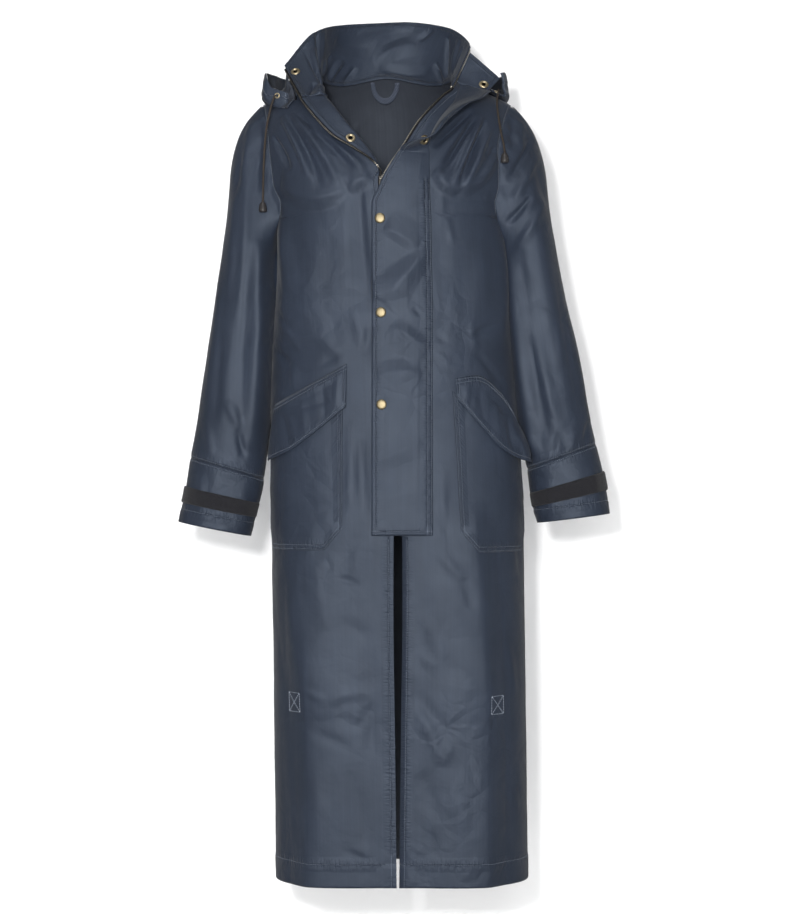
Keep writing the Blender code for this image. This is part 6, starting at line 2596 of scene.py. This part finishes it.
@dataclass(frozen=True)
class RaincoatSizes:
    """Sizes of the coat's sleeves, pocket flaps, drawcords and boxes."""

    tube_left: SizeTable = SizeTable(
        "share outer_x outer_z inner_x inner_z half_depth middle_y",
        (0, -0.258, -0.24, -0.1835, -0.285, 0.069, -0.001),
        (0.19, -0.267, -0.305, -0.1852, -0.33, 0.067, -0.003),
        (0.34, -0.276, -0.363, -0.1888, -0.3735, 0.067, -0.005),
        (0.48, -0.2865, -0.4305, -0.1925, -0.441, 0.062, -0.009),
        (0.64, -0.297, -0.5055, -0.1945, -0.519, 0.056, -0.014),
        (0.8, -0.309, -0.576, -0.1995, -0.6075, 0.05, -0.019),
        (0.91, -0.318, -0.633, -0.21, -0.6555, 0.048, -0.021),
        (1, -0.327, -0.672, -0.2205, -0.693, 0.047, -0.022),
    )
    tube_right: SizeTable = SizeTable(
        "share outer_x outer_z inner_x inner_z half_depth middle_y",
        (0, 0.232, -0.24, 0.161, -0.285, 0.071, -0.001), (0.19, 0.244, -0.305, 0.166, -0.33, 0.068, -0.003),
        (0.34, 0.2558, -0.363, 0.171, -0.3735, 0.068, -0.005),
        (0.48, 0.27, -0.4305, 0.1775, -0.441, 0.063, -0.009),
        (0.64, 0.2835, -0.5055, 0.184, -0.519, 0.057, -0.014),
        (0.8, 0.295, -0.556, 0.1925, -0.5925, 0.051, -0.019),
        (0.91, 0.309, -0.618, 0.1995, -0.645, 0.048, -0.021),
        (1, 0.315, -0.66, 0.2085, -0.6735, 0.047, -0.022),
    )
    sleeve_left_creases: tuple[Crease, ...] = folds(
        (-239, -170, -254, -344, 4.3, 12, 9, 3), (-245, -190, -284, -492, 3.8, 10, 9),
        (-206, -255, -217.5, -566, 15, 28, 13, -2), (-190, -115, -170, -225, -7, 6, 22, 2, 0.5),
        (-170, -225, -183, -330, -7, 6, 24), (-224, -152, -236, -388, 3.5, 10, 10, 3),
        (-260, -388, -272, -536, -3.5, 12, 12), (-236, -536, -226, -577, -5.2, 6, 9, 0, 0.6),
        (-251, -492, -233, -536, 3.5, 10, 10), (-284, -521, -275, -577, 2.9, 9, 9),
        (-219, -66, -230, -167, 3.8, 9, 9, 1), (-201, -69, -210, -182, -4.3, 7, 9),
        (-192, -123, -201, -196, 2.9, 6, 7), (-233, -123, -242, -196, -3.2, 7, 7),
        (-216, -344, -227, -418, -3.2, 9, 10, 4), (-295, -595, -287, -669, 1.6, 10, 10),
        (-254, -604, -248, -681, -1.8, 10, 12), (-227, -616, -227, -681, 1.6, 9, 9),
    )
    sleeve_right_creases: tuple[Crease, ...] = folds(
        (201, -96, 160, -171, -7.2, 7, 7, 3, 0.6), (198, -190, 161, -232, -5.8, 7, 7, 1, 0.6),
        (210, -123, 168, -204, 5.1, 10, 10, 0, 0.7), (219, -190, 174, -270, 4.3, 12, 10, 3, 0.8),
        (166, -270, 201, -575, 14, 13, 26, 2), (180, -315, 239, -551, 4.9, 15, 13, -3),
        (227, -255, 269, -521, -2.9, 13, 13), (248, -344, 287, -536, 2.6, 10, 10),
        (195, -388, 222, -551, -3.5, 10, 10), (263, -536, 248, -577, 3.5, 9, 9),
        (239, -539, 233, -586, -4.3, 7, 7), (284, -521, 275, -560, -3.5, 7, 7),
        (195, -536, 210, -583, 2.9, 9, 9), (186, -72, 180, -123, 3.5, 7, 7),
        (171, -63, 168, -123, -3.5, 6, 6), (204, -137, 222, -211, -2.6, 7, 9),
        (239, -595, 254, -662, -1.8, 12, 12), (284, -580, 295, -647, 2.3, 9, 9),
        (222, -607, 227, -666, 1.6, 9, 9),
    )
    sleeve_rear_creases: tuple[Crease, ...] = folds(
        (225, -160, 245, -300, -3, 12, 10), (205, -240, 215, -430, 3, 14, 12, 3),
        (200, -400, 262, -445, -3.2, 10, 8, 3, 0.7), (205, -440, 268, -470, 2.6, 10, 10),
        (235, -460, 260, -580, 2.4, 14, 12), (255, -300, 275, -440, -2.2, 10, 12),
        (222, -500, 236, -600, -2.4, 10, 10), (195, -120, 215, -220, 2.6, 8, 10),
    )
    pocket_flap_left: SizeTable = SizeTable(
        "share x_sewn z_sewn x_free z_free stand forward",
        (0, -0.0738, -0.44, -0.0745, -0.5035, 0.0075, 0),
        (0.4, -0.112, -0.462, -0.1175, -0.5397, 0.0085, 0),
        (0.72, -0.1508, -0.483, -0.1508, -0.5657, 0.0095, 0), (1, -0.18, -0.498, -0.183, -0.582, 0.011, 0),
    )
    pocket_flap_right: SizeTable = SizeTable(
        "share x_sewn z_sewn x_free z_free stand forward",
        (0, 0.0826, -0.4614, 0.0836, -0.4904, 0.0075, 0), (0.3, 0.115, -0.457, 0.118, -0.532, 0.009, 0),
        (0.6, 0.145, -0.4757, 0.1465, -0.5643, 0.01, 0), (0.82, 0.164, -0.503, 0.168, -0.579, 0.012, 0.006),
        (1, 0.1765, -0.53, 0.182, -0.585, 0.017, 0.022),
    )
    pocket_flap_left_creases: tuple[Crease, ...] = folds(
        (-170, -510, -157, -569, -2.4, 9, 9), (-142, -487, -134, -551, 2, 10, 10),
        (-110, -470, -105, -528, -1.8, 10, 10), (-87, -452, -90, -508, 1.6, 7, 7),
        (-166, -496, -84, -452, 1.4, 9, 9), (-148, -508, -99, -493, -1.6, 9, 7),
    )
    pocket_flap_right_creases: tuple[Crease, ...] = folds(
        (101, -464, 99, -502, 1.6, 7, 7), (119, -473, 125, -528, -2, 9, 9), (142, -493, 148, -557, 2, 9, 9),
        (160, -516, 171, -574, -3, 7, 7), (174, -537, 189, -580, 2.4, 6, 6),
        (131, -482, 168, -522, -1.6, 7, 7),
    )
    cord_left: SizeTable = SizeTable(
        "share x y z",
        (0, -0.1808, -0.057, -0.042), (0.03, -0.182, -0.06, -0.043), (0.08, -0.1845, -0.0625, -0.0495),
        (0.18, -0.189, -0.065, -0.066), (0.4, -0.195, -0.068, -0.101), (0.7, -0.198, -0.069, -0.15),
        (1, -0.199, -0.07, -0.2005),
    )
    cord_right: SizeTable = SizeTable(
        "share x y z",
        (0, 0.1502, -0.014, -0.0268), (0.05, 0.15, -0.0175, -0.03), (0.16, 0.148, -0.029, -0.04),
        (0.3, 0.147, -0.041, -0.052), (0.42, 0.1478, -0.049, -0.064), (0.56, 0.1495, -0.0565, -0.079),
        (0.72, 0.1522, -0.064, -0.098), (0.9, 0.156, -0.072, -0.118), (1, 0.157, -0.075, -0.1285),
    )
    eyelet_left: tuple[float, float, float] = (-0.1815, -0.056, -0.041)
    eyelet_right: tuple[float, float, float] = (0.151, -0.013, -0.024)
    cord_lengths: tuple[float, float] = (0.165, 0.124)
    boxes: tuple[CrossedBox, ...] = (
        CrossedBox(-0.1578, -0.919, -0.1374, -0.9467),
        CrossedBox(0.1316, -0.9234, 0.1527, -0.9496),
    )


class Raincoat:
    """The whole coat, put together from its pieces."""

    def __init__(self) -> None:
        """Draws up the form, the sizes and the finishes."""
        self.form = CoatForm()
        self.sizes = RaincoatSizes()
        self.finishes = Finishes()
        self.shown: dict[str, Thing] = {}

    def cloth(self, piece: ClothPiece, finish: Finish, inside: Finish | None = None) -> ClothPiece:
        """Builds a piece and its stitches.

        Args:
            piece: the piece.
            finish: finish of its outer face.
            inside: finish of its inner face, if it is another.

        Returns:
            The piece.
        """
        self.shown[piece.name] = piece.build(finish, inside)
        if any(work.seams for work in piece.edges):
            stitches = StitchWork("stitches_" + piece.name.replace("_cloth", ""))
            stitches.sew(piece)
            stitches.build(self.finishes.thread, piece.slot)
        LOG.info("%s: %d points", piece.name, piece.points.size // 3)
        return piece

    def build_cords(self) -> list[Drawcord]:
        """The free ends of the drawcord.

        Returns:
            The cord ends.
        """
        sizes = self.sizes
        cords = [
            Drawcord(Side.LEFT, sizes.cord_lengths[0], sizes.cord_left, sizes.eyelet_left),
            Drawcord(Side.RIGHT, sizes.cord_lengths[1], sizes.cord_right, sizes.eyelet_right),
        ]
        for cord in cords:
            cord.build(self.finishes)
        return cords

    def build_body(self) -> None:
        """Fronts, back and the stitched boxes."""
        nylon, inside = self.finishes.nylon, self.finishes.inside
        for side in Side:
            self.cloth(FrontPanel(form=self.form, side=side), nylon)
        self.cloth(BackPanel(form=self.form), nylon, inside)
        stitches = StitchWork("stitches_boxes")
        for box in self.sizes.boxes:
            box.sew(self.form, stitches)
        stitches.build(self.finishes.pale_thread)

    def build_sleeves(self) -> None:
        """Sleeves, cuffs and their straps."""
        sizes = self.sizes
        mirrored = tuple(
            Crease(-c.x_1, c.z_1, -c.x_2, c.z_2, c.height, c.right, c.left, -c.bow, c.taper)
            for c in sizes.sleeve_rear_creases
        )
        plans = (
            (Side.LEFT, sizes.tube_left, sizes.sleeve_left_creases, mirrored, 0.883),
            (Side.RIGHT, sizes.tube_right, sizes.sleeve_right_creases, sizes.sleeve_rear_creases, 0.874),
        )
        for side, tube, creases, rear, strap in plans:
            shape = SleeveForm(self.form, side, tube, creases, rear)
            self.cloth(Sleeve(shape_of=shape), self.finishes.nylon, self.finishes.inside)
            self.cloth(Cuff(shape_of=shape), self.finishes.nylon, self.finishes.inside)
            self.cloth(CuffStrap(shape_of=shape, top=strap), self.finishes.fastener)

    def build_neck(self) -> None:
        """Collar, zip, flap, hood and hanger loop."""
        nylon = self.finishes.nylon
        collar = self.cloth(Collar(form=self.form), nylon)
        flap = self.cloth(StormFlap(form=self.form, collar=collar), nylon)
        for side in Side:
            half = self.cloth(ZipHalf(form=self.form, collar=collar, side=side), self.finishes.tape)
            half.teeth(self.finishes.teeth)
        self.cloth(HangerLoop(form=self.form), self.finishes.loop)
        near = (self.shown[collar.name], self.shown[flap.name], self.shown["zip_left_tape"])
        self.cloth(Hood(form=self.form, near=near), nylon, self.finishes.inside)

    def build_pockets(self) -> None:
        """Patch pockets and their flaps."""
        sizes, nylon = self.sizes, self.finishes.nylon
        left = dict(inner=0.188, chamfer=0.097, bottom=-0.499, corner=-0.467, mouth_inner=-0.268)
        self.cloth(PatchPocket(form=self.form, side=Side.LEFT, **left), nylon)
        self.cloth(PatchPocket(form=self.form), nylon)
        flaps = (
            (Side.LEFT, sizes.pocket_flap_left, sizes.pocket_flap_left_creases),
            (Side.RIGHT, sizes.pocket_flap_right, sizes.pocket_flap_right_creases),
        )
        for side, table, creases in flaps:
            flap = PocketFlap(form=self.form, side=side, sizes=table, creases=creases)
            self.cloth(flap, nylon)

    def build(self) -> None:
        """Builds every part of the coat."""
        cords = self.build_cords()
        self.build_body()
        self.build_sleeves()
        self.build_neck()
        self.build_pockets()
        PressStuds().build(self.finishes)
        Slider(self.form).build(self.finishes.metal)
        for cord in cords:
            cord.set_eyelet(self.shown["hood_cloth"], self.finishes.ring_brass)


def main() -> None:
    """Sets up the studio and builds the coat."""
    logging.basicConfig(level=logging.INFO)
    studio = Studio()
    studio.camera()
    studio.build()
    Raincoat().build()


if __name__ == "__main__":
    main()
